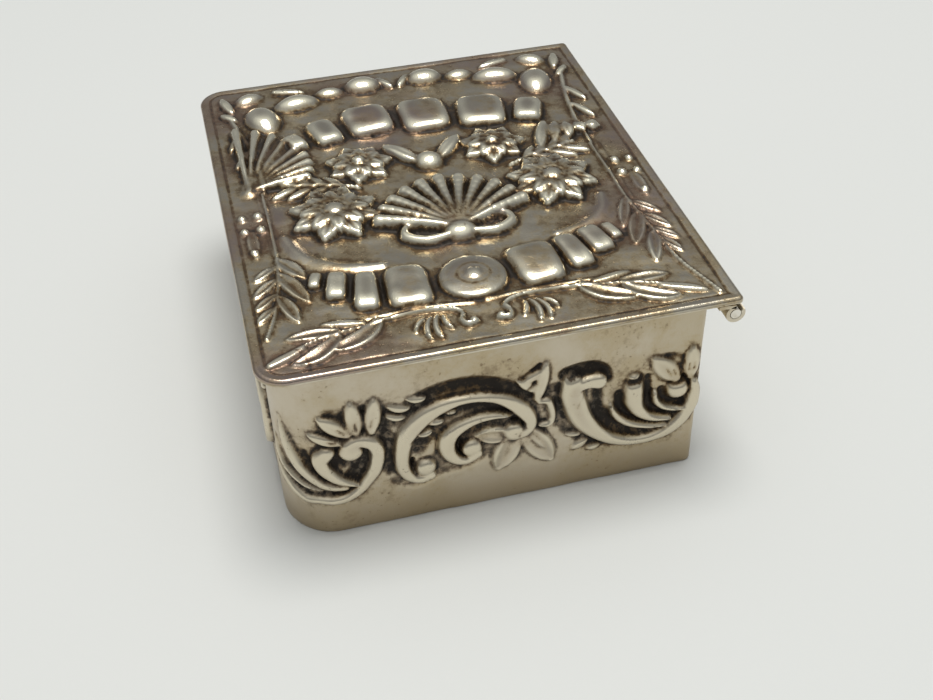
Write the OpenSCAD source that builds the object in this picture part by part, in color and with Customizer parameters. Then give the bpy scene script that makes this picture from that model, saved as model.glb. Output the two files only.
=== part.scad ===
// Double stamp box in stamped silver sheet: an embossed body with a gilt two-well insert,
// and an embossed lid on a five-knuckle hinge along the back. Millimetres, +Z up, the front
// faces -Y, and the origin is under the middle of the closed box on the surface it stands on.

/* [Body] */
// Width of the body over its plain side walls
body_w = 51.4; // [46:0.1:60]
// Depth of the body from front wall to back wall
body_d = 40; // [36:0.1:46]
// Height of the body from its resting face to the mouth
body_h = 19.5; // [17:0.1:24]
// Thickness of the wall sheet
wall_t = 0.6; // [0.5:0.05:0.8]
// Outer radius of the front corners of the body
front_r = 5; // [3.5:0.1:6]
// Outer radius of the back corners of the body
back_r = 0.8; // [0.7:0.05:1.2]
// Length of wall strip that turns on to the back at each side
back_return = 3; // [2.5:0.1:6]
// Thickness of the base plate
base_t = 0.6; // [0.4:0.05:1]
// How far the wall ornament stands out
wall_relief = 0.7; // [0.5:0.05:0.8]

/* [Lid] */
// How far the lid reaches past each side wall
lid_side_over = 0.6; // [0.4:0.05:1.2]
// How far the lid reaches past the front wall
lid_front_over = 0.95; // [0.6:0.05:1.5]
// How far the lid reaches past the back wall
lid_back_over = 3.05; // [2.9:0.05:4]
// Corner radius at the front of the lid
lid_front_r = 2.8; // [2:0.1:4]
// Corner radius at the back of the lid
lid_back_r = 0.5; // [0.3:0.1:1]
// Thickness of the flat plate under the lid
lid_plate_t = 0.25; // [0.2:0.05:0.5]
// Thickness of the embossed skin at its edge
lid_skin_t = 0.3; // [0.25:0.05:0.5]
// Width of the raised border round the lid
border_w = 1.1; // [0.8:0.1:1.6]
// How far the border stands above the field inside it
border_rise = 0.15; // [0.1:0.05:0.3]
// How far the border stands in from the edge of the skin
border_step = 0.1; // [0.05:0.05:0.3]
// How far the highest domes stand above the field
lid_relief = 1.4; // [1:0.1:1.8]

/* [Lid bezel] */
// Thickness of the locating bezel under the lid
bezel_t = 0.45; // [0.3:0.05:0.7]
// How far the bezel drops into the mouth
bezel_drop = 1.2; // [0.8:0.1:2]
// Clearance between the bezel and the front and side walls
bezel_gap = 0.15; // [0.1:0.05:0.3]
// Clearance between the bezel and the back wall, for its swing
bezel_back_gap = 0.8; // [0.6:0.1:1.5]

/* [Insert] */
// Thickness of the gilt band that lines the walls
insert_t = 0.4; // [0.3:0.05:0.6]
// Clearance between the gilt band and the walls
insert_gap = 0.1; // [0.05:0.05:0.2]
// Distance from the top of the insert up to the lid bezel
insert_under = 0.3; // [0.2:0.1:1]
// Thickness of the divider between the two wells
divider_t = 0.8; // [0.6:0.1:1.5]
// Radius of the hollow floor of a well
floor_r = 26; // [24:1:60]
// Thickness of a well floor
floor_t = 0.4; // [0.3:0.05:0.6]
// Height of the lowest point of a well floor above the base plate
floor_low = 1.2; // [0.8:0.1:3]

/* [Hinge] */
// Outer radius of the knuckles
knuckle_r = 0.95; // [0.85:0.01:1]
// Radius of the hinge pin
pin_r = 0.5; // [0.4:0.02:0.55]
// Running clearance between the pin and the body knuckles
pin_gap = 0.04; // [0.02:0.01:0.08]
// How far the knuckles stand out behind the lid
hinge_proud = 0.25; // [0.1:0.05:0.5]
// Gap between the knuckles and the lid plate above them
knuckle_gap = 0.15; // [0.1:0.05:0.4]
// Number of knuckles, the end ones on the lid
knuckles = 5; // [3:2:7]
// Gap between one knuckle and the next
knuckle_end_gap = 0.2; // [0.1:0.05:0.4]
// Thickness of the two hinge leaves
leaf_t = 0.4; // [0.3:0.05:0.45]
// Height of the body leaf where it lies on the back wall
leaf_h = 3; // [2:0.1:6]
// Width of the lid leaf where it lies under the lid plate
leaf_lap = 0.6; // [0.4:0.05:0.9]

/* [Hidden] */
$fn = 48;

silver = [0.66, 0.63, 0.57];
bright_silver = [0.8, 0.78, 0.73];
gilt = [0.83, 0.66, 0.34];

// The lid covers the body with its overhangs, and the knuckles stand a little behind it
lid_w = body_w + 2 * lid_side_over;
lid_d = body_d + lid_front_over + lid_back_over;
lid_front_y = -(lid_d + hinge_proud) / 2;
lid_back_y = lid_front_y + lid_d;
body_front_y = lid_front_y + lid_front_over;
body_back_y = body_front_y + body_d;
hinge_y = lid_back_y + hinge_proud - knuckle_r;
hinge_z = body_h - knuckle_gap - knuckle_r;
lid_field_z = body_h + lid_plate_t + lid_skin_t;
insert_top = body_h - bezel_drop - insert_under;
insert_inset = wall_t + insert_gap;
knuckle_len = (lid_w - (knuckles - 1) * knuckle_end_gap) / knuckles;

// The ornament was drawn for a wall of this size and a lid of this size, and follows them
drawn_wall_d = 40;
drawn_wall_w = 51.4;
drawn_wall_h = 19.5;
drawn_lid_w = 52.6;
drawn_lid_d = 44;
drawn_relief = 0.7;
drawn_lid_relief = 1.4;
side_scale = min(body_d / drawn_wall_d, body_h / drawn_wall_h);
front_scale = min(body_w / drawn_wall_w, body_h / drawn_wall_h);
lid_scale = min(lid_w / drawn_lid_w, lid_d / drawn_lid_d);
// How deep an ornament is sunk in its face, and the step at the edge of a leaf
sunk = 0.3;
leaf_step = 0.06;
// Smallest radius left on an inner corner
least_r = 0.15;
eps = 0.01;

// Plan of the body or of a line inside it, with its front corners wider than its back ones
module plan(w, front_y, back_y, corner_front, corner_back) {
    d = back_y - front_y;
    translate([-w / 2, front_y + corner_front])
        square([w, d - corner_front - corner_back]);
    translate([-w / 2 + corner_front, front_y])
        square([w - 2 * corner_front, corner_front + eps]);
    translate([-w / 2 + corner_back, back_y - corner_back - eps])
        square([w - 2 * corner_back, corner_back + eps]);
    for (side = [-1, 1]) {
        translate([side * (w / 2 - corner_front), front_y + corner_front])
            circle(r = corner_front);
        translate([side * (w / 2 - corner_back), back_y - corner_back])
            circle(r = corner_back);
    }
}

// Plan of the body drawn in by an inset from its outer face
module body_plan(inset, back_inset = 0) {
    plan(
        body_w - 2 * inset,
        body_front_y + inset,
        body_back_y - max(inset, back_inset),
        front_r - inset,
        max(back_r - inset, least_r)
    );
}

module body_block(inset, z0, z1) {
    translate([0, 0, z0])
        linear_extrude(z1 - z0)
            body_plan(inset);
}

// Where a point of an ornament lies: along the face, up it, and out of it
flat_face = function(u, v, n) [u, v, n];

// Points of a smooth run through hand-set points, with stops to a span
function run_point(a, b, c, d, t) =
    (2 * b + (c - a) * t + (2 * a - 5 * b + 4 * c - d) * t * t
        + (3 * b - a - 3 * c + d) * t * t * t) / 2;
function smooth_run(points, stops) =
    let (last = len(points) - 1)
    [
        for (i = [0:last - 1])
            for (k = [0:stops - 1])
                run_point(
                    points[max(i - 1, 0)], points[i], points[i + 1],
                    points[min(i + 2, last)], k / stops
                ),
        points[last]
    ];

// A rounded tendril along a run of points, half sunk in the face and finer at its ends
module tendril(points, r, start = 1, end = 0.6, stops = 2, face = flat_face) {
    run = smooth_run(points, stops);
    sides = 6;
    last = len(run) - 1;
    rings = [
        for (i = [0:last])
            let (
                before = run[max(i - 1, 0)],
                after = run[min(i + 1, last)],
                across = atan2(after.y - before.y, after.x - before.x) + 90,
                share = i / last,
                thick = r * min(1, start + 4 * share, end + 4 * (1 - share))
            )
            for (k = [0:sides - 1])
                let (a = 360 * (k + 0.5) / sides)
                face(
                    run[i].x + thick * cos(a) * cos(across),
                    run[i].y + thick * cos(a) * sin(across),
                    thick * sin(a)
                )
    ];
    polyhedron(
        points = rings,
        faces = [
            [for (k = [0:sides - 1]) k],
            [for (k = [sides - 1:-1:0]) last * sides + k],
            for (i = [0:last - 1])
                for (k = [0:sides - 1])
                    let (
                        a = i * sides + k,
                        b = i * sides + (k + 1) % sides
                    )
                    each [[b, a, a + sides], [b + sides, b, a + sides]]
        ]
    );
}

// A small convex form given by its corner points
module form(points) {
    hull()
        polyhedron(points, [[for (i = [0:len(points) - 1]) i]]);
}

// A pointed leaf from one point to another, with a rounded ridge
module leaf(from, to, width, rise = 0.5, face = flat_face) {
    step = to - from;
    side = [-step.y, step.x] / norm(step) * width / 2;
    edge = [[0, 0.14], [0.3, 0.9], [0.68, 0.88], [1, 0.08]];
    ridge = [[0.22, 0.85], [0.5, 1], [0.8, 0.75]];
    form([
        for (s = edge)
            let (p = from + step * s[0], q = side * s[1])
            each [
                face(p.x - q.x, p.y - q.y, -sunk),
                face(p.x + q.x, p.y + q.y, -sunk),
                face(p.x - q.x, p.y - q.y, leaf_step),
                face(p.x + q.x, p.y + q.y, leaf_step)
            ],
        for (s = ridge)
            let (p = from + step * s[0], q = side * 0.35)
            each [
                face(p.x - q.x, p.y - q.y, rise * s[1]),
                face(p.x + q.x, p.y + q.y, rise * s[1])
            ]
    ]);
}

// A round boss sunk so that it stands out by rise
module boss(at, r, rise) {
    translate([at.x, at.y, rise - r])
        sphere(r = r, $fn = 12);
}

// The curled end of a scroll: a ball that the tendril closes on
module curl_ball(at, r) {
    boss(at, r, drawn_relief);
}

// The scroll at the front corner, with four petals over it
module corner_scroll() {
    tendril([[5.7, 11.3], [7.4, 12], [8.8, 10.4], [8.9, 8.2], [7.9, 6], [6, 4.8], [4.2, 4.6]], 0.7, 1, 1);
    curl_ball([6.3, 10.4], 1);
    leaf([6.4, 5.9], [3.6, 11.4], 1.4);
    leaf([4.8, 12], [3.4, 13.2], 0.9);
    leaf([5.6, 13], [4.2, 14.8], 1.1);
    leaf([6.8, 13.1], [6.5, 15.4], 1.1);
    leaf([7.9, 12.9], [9.2, 15.3], 1.1);
}

// The great scroll of a wall: a large C over a small one, with leaves at its end
module great_scroll() {
    tendril(
        [[12.4, 5.6], [10.8, 7], [10.6, 9.5], [11.7, 12.3], [14, 14], [16.6, 14.4], [19.6, 13.8],
         [22, 12.2], [23.2, 10.4], [22.7, 8.8]],
        0.75
    );
    curl_ball([12.9, 6.7], 1.1);
    curl_ball([21.8, 9.1], 1);
    tendril(
        [[17.2, 6.8], [15.8, 6.7], [14.8, 8.2], [15.1, 10], [16.6, 11.2], [19, 11.6], [21, 11.1]],
        0.6, 1, 0.2
    );
    curl_ball([17.5, 7.8], 1);
    leaf([10, 13.9], [11.3, 13.3], 0.5);
    leaf([10.8, 14.8], [12.2, 14.2], 0.5);
    leaf([12, 15.6], [13.4, 15.2], 0.5);
    leaf([20.7, 8.6], [18.5, 9.2], 1);
    leaf([21.5, 7.9], [20.2, 5.1], 1.3);
    leaf([22.5, 7.9], [25.3, 4.8], 1.3);
    leaf([22.5, 13.3], [24.5, 16.3], 1.2);
    tendril([[24, 12.1], [25.4, 11.3], [25.5, 9.7], [24.6, 9]], 0.35);
}

// The acanthus scroll near the back corner
module acanthus_scroll() {
    tendril(
        [[26.7, 14.3], [27.1, 11], [28.6, 7.9], [31, 5.9], [34, 5], [37, 5.6], [39, 7.8], [39.4, 10.5]],
        0.7
    );
    curl_ball([27.9, 14.4], 1.4);
    curl_ball([29.9, 13.6], 1);
    tendril([[31.3, 10.2], [32.7, 7.8], [35.5, 6.2]], 0.45, 0.2, 1);
    tendril([[33.4, 12], [34, 9.3], [35.4, 7.6], [37.2, 7]], 0.65, 1, 0.5);
    tendril([[35.4, 10.2], [36.8, 8.3], [38.4, 7.8]], 0.4, 0.3, 1);
    curl_ball([37.7, 10.3], 0.75);
    leaf([36.8, 12.3], [35.2, 14.6], 1);
    leaf([38.3, 12.2], [38.8, 14.6], 1);
    leaf([26.9, 6.3], [28.6, 5.6], 0.6);
    leaf([28.3, 5.4], [30.1, 4.8], 0.6);
}

// Puts a side ornament on the right wall: its first axis runs back, its second up
module on_side_wall() {
    s = side_scale;
    translate([
        body_w / 2,
        body_front_y + (body_d - drawn_wall_d * s) / 2,
        (body_h - drawn_wall_h * s) / 2
    ])
        rotate([90, 0, 90])
            scale([s, s, s * wall_relief / drawn_relief])
                children();
}

// Puts a front ornament on the front wall: its first axis runs right, its second up
module on_front_wall() {
    s = front_scale;
    translate([0, body_front_y, (body_h - drawn_wall_h * s) / 2])
        rotate([90, 0, 0])
            scale([s, s, s * wall_relief / drawn_relief])
                children();
}

// A point of the wall face: along it from the front corner's end, up it, and out of it
function wall_point(along, up, out) =
    let (
        turn = (front_r - along) / front_r * 180 / PI,
        reach = front_r + out
    )
    along >= front_r
        ? [body_w / 2 + out, body_front_y + along, up]
        : [
            body_w / 2 - front_r + reach * cos(turn),
            body_front_y + front_r - reach * sin(turn),
            up
        ];

// A point of the side ornament carried on to the wall, round the front corner where it has to
function side_point(u, v, n) =
    wall_point(
        (body_d - drawn_wall_d * side_scale) / 2 + side_scale * u,
        (body_h - drawn_wall_h * side_scale) / 2 + side_scale * v,
        side_scale * n * wall_relief / drawn_relief
    );
on_side_face = function(u, v, n) side_point(u, v, n);

// The two tails of the corner scroll that run up round the front corner
module corner_tails() {
    tendril([[4.4, 4.6], [2.4, 5.2], [0.5, 8], [-0.8, 11.5], [-1.3, 15]], 0.7, 1, 0.3, 3, on_side_face);
    tendril([[5, 5.8], [2.9, 8.4], [1.5, 12], [0, 16]], 0.5, 0.8, 0.3, 3, on_side_face);
}

module side_ornament() {
    on_side_wall() {
        corner_scroll();
        great_scroll();
        acanthus_scroll();
    }
}

// Half of the front ornament: the great scroll moved so that its leaves meet the middle
module front_ornament_half() {
    on_front_wall() {
        translate([-28.6, 0, 0])
            great_scroll();
        leaf([0, 4.6], [-2, 7.6], 1.2);
    }
}

// Embossed strip of the front and the two sides, turned a little way on to the back
module wall_band() {
    color(silver)
        difference() {
            union() {
                body_block(0, 0, body_h);
                for (side = [0, 1])
                    mirror([side, 0, 0]) {
                        side_ornament();
                        corner_tails();
                        front_ornament_half();
                    }
                on_front_wall()
                    leaf([0, 9.5], [0, 14.5], 1.6);
            }
            translate([0, 0, -1])
                linear_extrude(body_h + 2)
                    body_plan(wall_t);
            translate([-body_w / 2 + back_return, body_back_y - 2 * wall_t, -1])
                cube([body_w - 2 * back_return, 3 * wall_t, body_h + 2]);
        }
}

// Plain plate of the back, let in between the two ends of the strip
module back_wall() {
    color(silver)
        translate([-body_w / 2 + back_return, body_back_y - wall_t, 0])
            cube([body_w - 2 * back_return, wall_t, body_h]);
}

module base_plate() {
    color(silver)
        body_block(wall_t, 0, base_t);
}

// Gilt band that stands on the base plate inside the walls
module insert_band() {
    color(gilt)
        difference() {
            body_block(insert_inset, base_t, insert_top);
            body_block(insert_inset + insert_t, base_t - 1, insert_top + 1);
        }
}

module divider() {
    inside = insert_inset + insert_t;
    color(gilt)
        translate([-divider_t / 2, body_front_y + inside, base_t])
            cube([divider_t, body_d - 2 * inside, insert_top - base_t]);
}

// Hollow floor of one well, curved from front to back so that a stamp slides up at its end
module well_floor(side) {
    inside = insert_inset + insert_t;
    low = base_t + floor_low;
    middle_y = (body_front_y + body_back_y) / 2;
    room = body_w / 2 - inside - divider_t / 2;
    intersection() {
        body_block(inside, base_t, insert_top);
        translate([side > 0 ? divider_t / 2 : -divider_t / 2 - room, body_front_y, 0])
            cube([room, body_d, insert_top]);
        translate([-body_w, middle_y, low + floor_r])
            rotate([0, 90, 0])
                difference() {
                    cylinder(h = 2 * body_w, r = floor_r + floor_t, $fn = 96);
                    translate([0, 0, -1])
                        cylinder(h = 2 * body_w + 2, r = floor_r, $fn = 96);
                }
        translate([-body_w, body_front_y, 0])
            cube([2 * body_w, body_d, low + floor_r]);
    }
}

module stamp_well_left() {
    color(gilt)
        well_floor(-1);
}

module stamp_well_right() {
    color(gilt)
        well_floor(1);
}

// Start of a knuckle, counted from the left end of the lid
function knuckle_x(i) = -lid_w / 2 + i * (knuckle_len + knuckle_end_gap);

module barrel(x, length, r) {
    translate([x, hinge_y, hinge_z])
        rotate([0, 90, 0])
            cylinder(h = length, r = r);
}

// A strip along the hinge with the profile given in the plane across it, from the pin's centre
module hinge_strip(x, length, profile) {
    translate([x, hinge_y, hinge_z])
        rotate([90, 0, 90])
            linear_extrude(length)
                polygon(profile);
}

// Body leaf: a flange on the back wall, and a shelf out to each body knuckle
module body_hinge_leaf() {
    wall_y = body_back_y - hinge_y;
    color(silver)
        difference() {
            union() {
                hinge_strip(
                    knuckle_x(1),
                    lid_w - 2 * (knuckle_len + knuckle_end_gap),
                    [
                        [wall_y, -knuckle_r - leaf_h + leaf_t],
                        [wall_y + leaf_t, -knuckle_r - leaf_h + leaf_t],
                        [wall_y + leaf_t, -knuckle_r + leaf_t],
                        [wall_y, -knuckle_r + leaf_t]
                    ]
                );
                for (i = [1:2:knuckles - 2]) {
                    barrel(knuckle_x(i), knuckle_len, knuckle_r);
                    hinge_strip(
                        knuckle_x(i),
                        knuckle_len,
                        [
                            [wall_y, -knuckle_r],
                            [0, -knuckle_r],
                            [0, -knuckle_r + leaf_t],
                            [wall_y, -knuckle_r + leaf_t]
                        ]
                    );
                }
            }
            barrel(-lid_w, 2 * lid_w, pin_r + pin_gap);
        }
}

module hinge_pin() {
    color(bright_silver)
        barrel(-lid_w / 2, lid_w, pin_r);
}

// Lid leaf: a strip under the lid plate, folded down and round the pin at each lid knuckle
module lid_hinge_leaf() {
    under = knuckle_r + knuckle_gap;
    root = -under - leaf_lap;
    far = norm([root, under]);
    lean = atan2(under, root) + acos(knuckle_r / far);
    color(silver)
        difference() {
            union() {
                hinge_strip(
                    -lid_w / 2,
                    lid_w,
                    [
                        [root, under - leaf_t],
                        [-under, under - leaf_t],
                        [-under, under],
                        [root, under]
                    ]
                );
                for (i = [0:2:knuckles - 1]) {
                    barrel(knuckle_x(i), knuckle_len, knuckle_r);
                    hinge_strip(
                        knuckle_x(i),
                        knuckle_len,
                        [
                            [root, under],
                            knuckle_r * [cos(lean), sin(lean)],
                            [0, 0],
                            [0, under]
                        ]
                    );
                }
            }
            barrel(-lid_w, 2 * lid_w, pin_r);
        }
}

module lid_plan(inset = 0) {
    plan(
        lid_w - 2 * inset,
        lid_front_y + inset,
        lid_back_y - inset,
        lid_front_r - inset,
        max(lid_back_r - inset, least_r)
    );
}

module lid_plate() {
    color(bright_silver)
        translate([0, 0, body_h])
            linear_extrude(lid_plate_t)
                lid_plan();
}

// Bezel under the lid that drops into the mouth and keeps the lid square
module lid_bezel() {
    outer = wall_t + bezel_gap;
    back = wall_t + bezel_back_gap;
    color(gilt)
        translate([0, 0, body_h - bezel_drop])
            linear_extrude(bezel_drop)
                difference() {
                    body_plan(outer, back);
                    body_plan(outer + bezel_t, back + bezel_t);
                }
}

// Puts an ornament on the lid: its first axis runs right, its second back
module on_lid() {
    translate([0, (lid_front_y + lid_back_y) / 2, lid_field_z])
        scale([lid_scale, lid_scale, lid_scale * lid_relief / drawn_lid_relief])
            children();
}

// One cushioned block of a garland, between two bearings of a wide ring
module garland_block(bend, from, to, width, rise) {
    middle = (from + to) / 2;
    half = (to - from) / 2;
    layers = [[-sunk, 1], [0, 1], [rise * 0.55, 0.88], [rise * 0.9, 0.66], [rise, 0.35]];
    quarter = [[1, 0.7], [0.75, 1]];
    form([
        for (layer = layers)
            for (q = quarter, a = [-1, 1], b = [-1, 1])
                let (
                    corner = [a * q.x, b * q.y],
                    bearing = middle + half * corner.x * layer[1],
                    d = bend + width / 2 * corner.y * layer[1]
                )
                [d * cos(bearing), d * sin(bearing), layer[0]]
    ]);
}

// Garland of blocks along one long side of the oval field
module garland(bend, blocks) {
    for (b = blocks)
        garland_block(bend, b[0], b[1], b[2], b[3]);
}

// Pairs of leaves along a straight stem
module laurel(from, to, pairs, length, width) {
    step = (to - from) / (pairs + 0.7);
    along = atan2(step.y, step.x);
    tendril([from, to], 0.22, 1, 0.6, 1);
    for (i = [0:pairs - 1])
        for (side = [-1, 1])
            let (
                foot = from + step * (i + 0.2),
                bearing = along + 36 * side
            )
            leaf(foot, foot + length * [cos(bearing), sin(bearing)], width, 0.4);
}

// Half of the near edge: a scroll from the middle out to a laurel spray, with a small curl
module edge_spray() {
    tendril([[22.5, 2.1], [23, 1.2], [22, 0.7], [20.8, 1.7], [20.2, 3.8], [20.1, 6.6], [20.4, 9.4]], 0.34);
    boss([22.3, 1.8], 0.5, 0.4);
    laurel([20.4, 9.2], [23.4, 18], 3, 3, 0.9);
    leaf([20.9, 4.6], [23.8, 5.2], 0.9, 0.4);
    leaf([20.9, 4.2], [22.8, 3.4], 0.6, 0.4);
}

// Fan of ribs opening from one point
module fan(foot, bearing, spread, ribs, length, r) {
    for (i = [0:ribs - 1])
        let (
            a = bearing - spread / 2 + spread * i / (ribs - 1),
            reach = length * (1 - 0.12 * abs(2 * i / (ribs - 1) - 1)),
            tip = foot + reach * [cos(a), sin(a)]
        )
        hull() {
            translate([foot.x, foot.y, -0.1])
                sphere(r = r * 0.35, $fn = 6);
            translate([tip.x, tip.y, -0.1])
                sphere(r = r, $fn = 8);
        }
}

// Flower with pointed petals about a round boss
module rosette(at, r, petals) {
    for (i = [0:petals - 1])
        let (a = 360 * i / petals)
        leaf(at + 0.25 * r * [cos(a), sin(a)], at + r * [cos(a), sin(a)], 2 * r / petals * 2.2, r * 0.28);
    boss(at, r * 0.42, r * 0.42);
}

// The middle of the lid: a scallop between two rosettes, under a spray of leaves
module centre_piece() {
    fan([8.8, 0], 180, 130, 9, 8.4, 1.25);
    boss([9, 0], 1.4, 1.1);
    boss([-3.8, 0], 1.2, 0.9);
    for (side = [0, 1])
        mirror([0, side, 0]) {
            rosette([3.4, 11], 3.6, 8);
            rosette([-5, 7], 2.3, 6);
            laurel([-1.4, 5.6], [-2.8, 14], 3, 3, 1.1);
            leaf([-4.2, 0.9], [-7.6, 3.6], 1.7, 0.9);
        }
}

// What frames the oval field: a garland along each long side, and fans in the far corners
module lid_frame() {
    near = [[-2.9, 2.9, 6.4, 1.1], [4.4, 12.2, 6, 1.1], [13, 17.4, 5.2, 1], [18.2, 21.8, 4.4, 0.9],
            [22.6, 25.2, 3, 0.7]];
    far = [[1.4, 10, 6.2, 1.3], [11.4, 20.4, 6.2, 1.3], [21.8, 26.6, 4.4, 1]];
    for (side = [0, 1])
        mirror([0, side, 0]) {
            translate([-16.3, 0, 0])
                garland(32.6, near);
            translate([17.5, 0, 0])
                rotate(180)
                    garland(32.6, far);
            edge_spray();
            fan([-4.6, 18.6], 202, 44, 5, 9.2, 0.9);
            boss([-17.4, 15.4], 1.9, 1.1);
            boss([-20.6, 11.6], 1.5, 1);
            boss([-22.4, 3.4], 1.6, 1);
            tendril([[-24, 17.6], [-22.9, 13.8], [-23.6, 9], [-22.8, 5], [-24, 1.6]], 0.4);
            laurel([8.4, 17.4], [20.4, 18.2], 4, 3.2, 1);
            tendril([[-3.4, 17.2], [2.4, 17.7], [8.6, 17.5]], 0.22, 1, 1);
            tendril([[18.6, 18], [22, 18.9], [25, 20.2]], 0.22);
            for (bead = [[0.6, 19.2], [3.6, 19.2], [6.6, 19.4]])
                boss(bead, 0.7, 0.35);
        }
}

// Embossed skin of the lid
module lid_skin() {
    color(silver)
        difference() {
            union() {
                translate([0, 0, body_h + lid_plate_t])
                    linear_extrude(lid_skin_t)
                        lid_plan();
                translate([0, 0, body_h + lid_plate_t])
                    linear_extrude(lid_skin_t + border_rise)
                        difference() {
                            lid_plan(border_step);
                            lid_plan(border_w);
                        }
                on_lid() {
                    centre_piece();
                    lid_frame();
                }
            }
            translate([-lid_w, -lid_d, body_h - 5])
                cube([2 * lid_w, 2 * lid_d, 5 + lid_plate_t]);
        }
}

wall_band();
back_wall();
base_plate();
insert_band();
divider();
stamp_well_left();
stamp_well_right();
body_hinge_leaf();
hinge_pin();
lid_hinge_leaf();
lid_plate();
lid_bezel();
lid_skin();
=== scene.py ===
# Looks of a small stamp box in pressed silver: the embossed lid and wall strip, the rolled hinge,
# the gilt wells, and the finishes of them all.
import math
import bpy
import bmesh
import numpy as np
from mathutils import Matrix, Vector


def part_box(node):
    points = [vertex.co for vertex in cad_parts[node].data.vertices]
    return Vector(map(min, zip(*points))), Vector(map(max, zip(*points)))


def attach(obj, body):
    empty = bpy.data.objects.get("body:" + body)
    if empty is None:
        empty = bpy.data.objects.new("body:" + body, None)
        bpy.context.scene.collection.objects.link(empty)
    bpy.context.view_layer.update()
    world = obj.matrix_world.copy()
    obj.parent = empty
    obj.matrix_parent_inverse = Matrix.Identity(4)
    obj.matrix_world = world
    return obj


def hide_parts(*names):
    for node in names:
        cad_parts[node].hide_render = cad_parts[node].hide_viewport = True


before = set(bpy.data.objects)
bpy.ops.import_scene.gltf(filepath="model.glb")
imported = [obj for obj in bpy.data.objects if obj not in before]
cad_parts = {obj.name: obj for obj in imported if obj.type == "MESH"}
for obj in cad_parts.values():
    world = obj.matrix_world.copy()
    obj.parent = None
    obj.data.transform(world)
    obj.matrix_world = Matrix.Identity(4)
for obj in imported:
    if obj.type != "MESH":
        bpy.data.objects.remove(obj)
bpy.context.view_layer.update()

MM = 0.001

# Sizes that the sheets share with the solids under them, in millimetres
low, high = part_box("lid_plate")
LID_W, LID_D = (high.x - low.x) / MM, (high.y - low.y) / MM
LID_Y = (high.y + low.y) / 2 / MM
LID_SEAT = high.z / MM
LID_SKIN = 0.3
LID_FRONT_R, LID_BACK_R = 2.8, 0.5
low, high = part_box("back_wall")
BACK_Y, WALL_H = high.y / MM, high.z / MM
WALL_T = (high.y - low.y) / MM
BACK_RETURN_X = high.x / MM
low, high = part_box("base_plate")
BODY_W = (high.x - low.x) / MM + 2 * WALL_T
BODY_FRONT = low.y / MM - WALL_T
BODY_D = BACK_Y - BODY_FRONT
FRONT_R, BACK_R = 5.0, 0.8
low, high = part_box("hinge_pin")
HINGE_Y, HINGE_Z = (low.y + high.y) / 2 / MM, (low.z + high.z) / 2 / MM
PIN_R = (high.z - low.z) / 2 / MM

BOARD_STEP = 0.08

# Highest relief of each sheet over its ground
LID_RELIEF = 1.42
WALL_RELIEF = 0.73


# Profiles across a stroke: 0 on its middle line, 1 at its edge

def rounded(q):
    return 1 - q ** 2.6


def flat_topped(q):
    return 1 - q ** 5


def rimmed(q):
    return (1 - q ** 6) * (0.35 + q ** 2)


def veined(q):
    return (1 - q ** 3) * (1 - 0.4 * np.exp(-((q / 0.14) ** 2)))


def petal(q):
    return (1 - q ** 4) * (0.82 + 0.18 * q)


def soft(q):
    return (1 - q ** 2) ** 2


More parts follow.
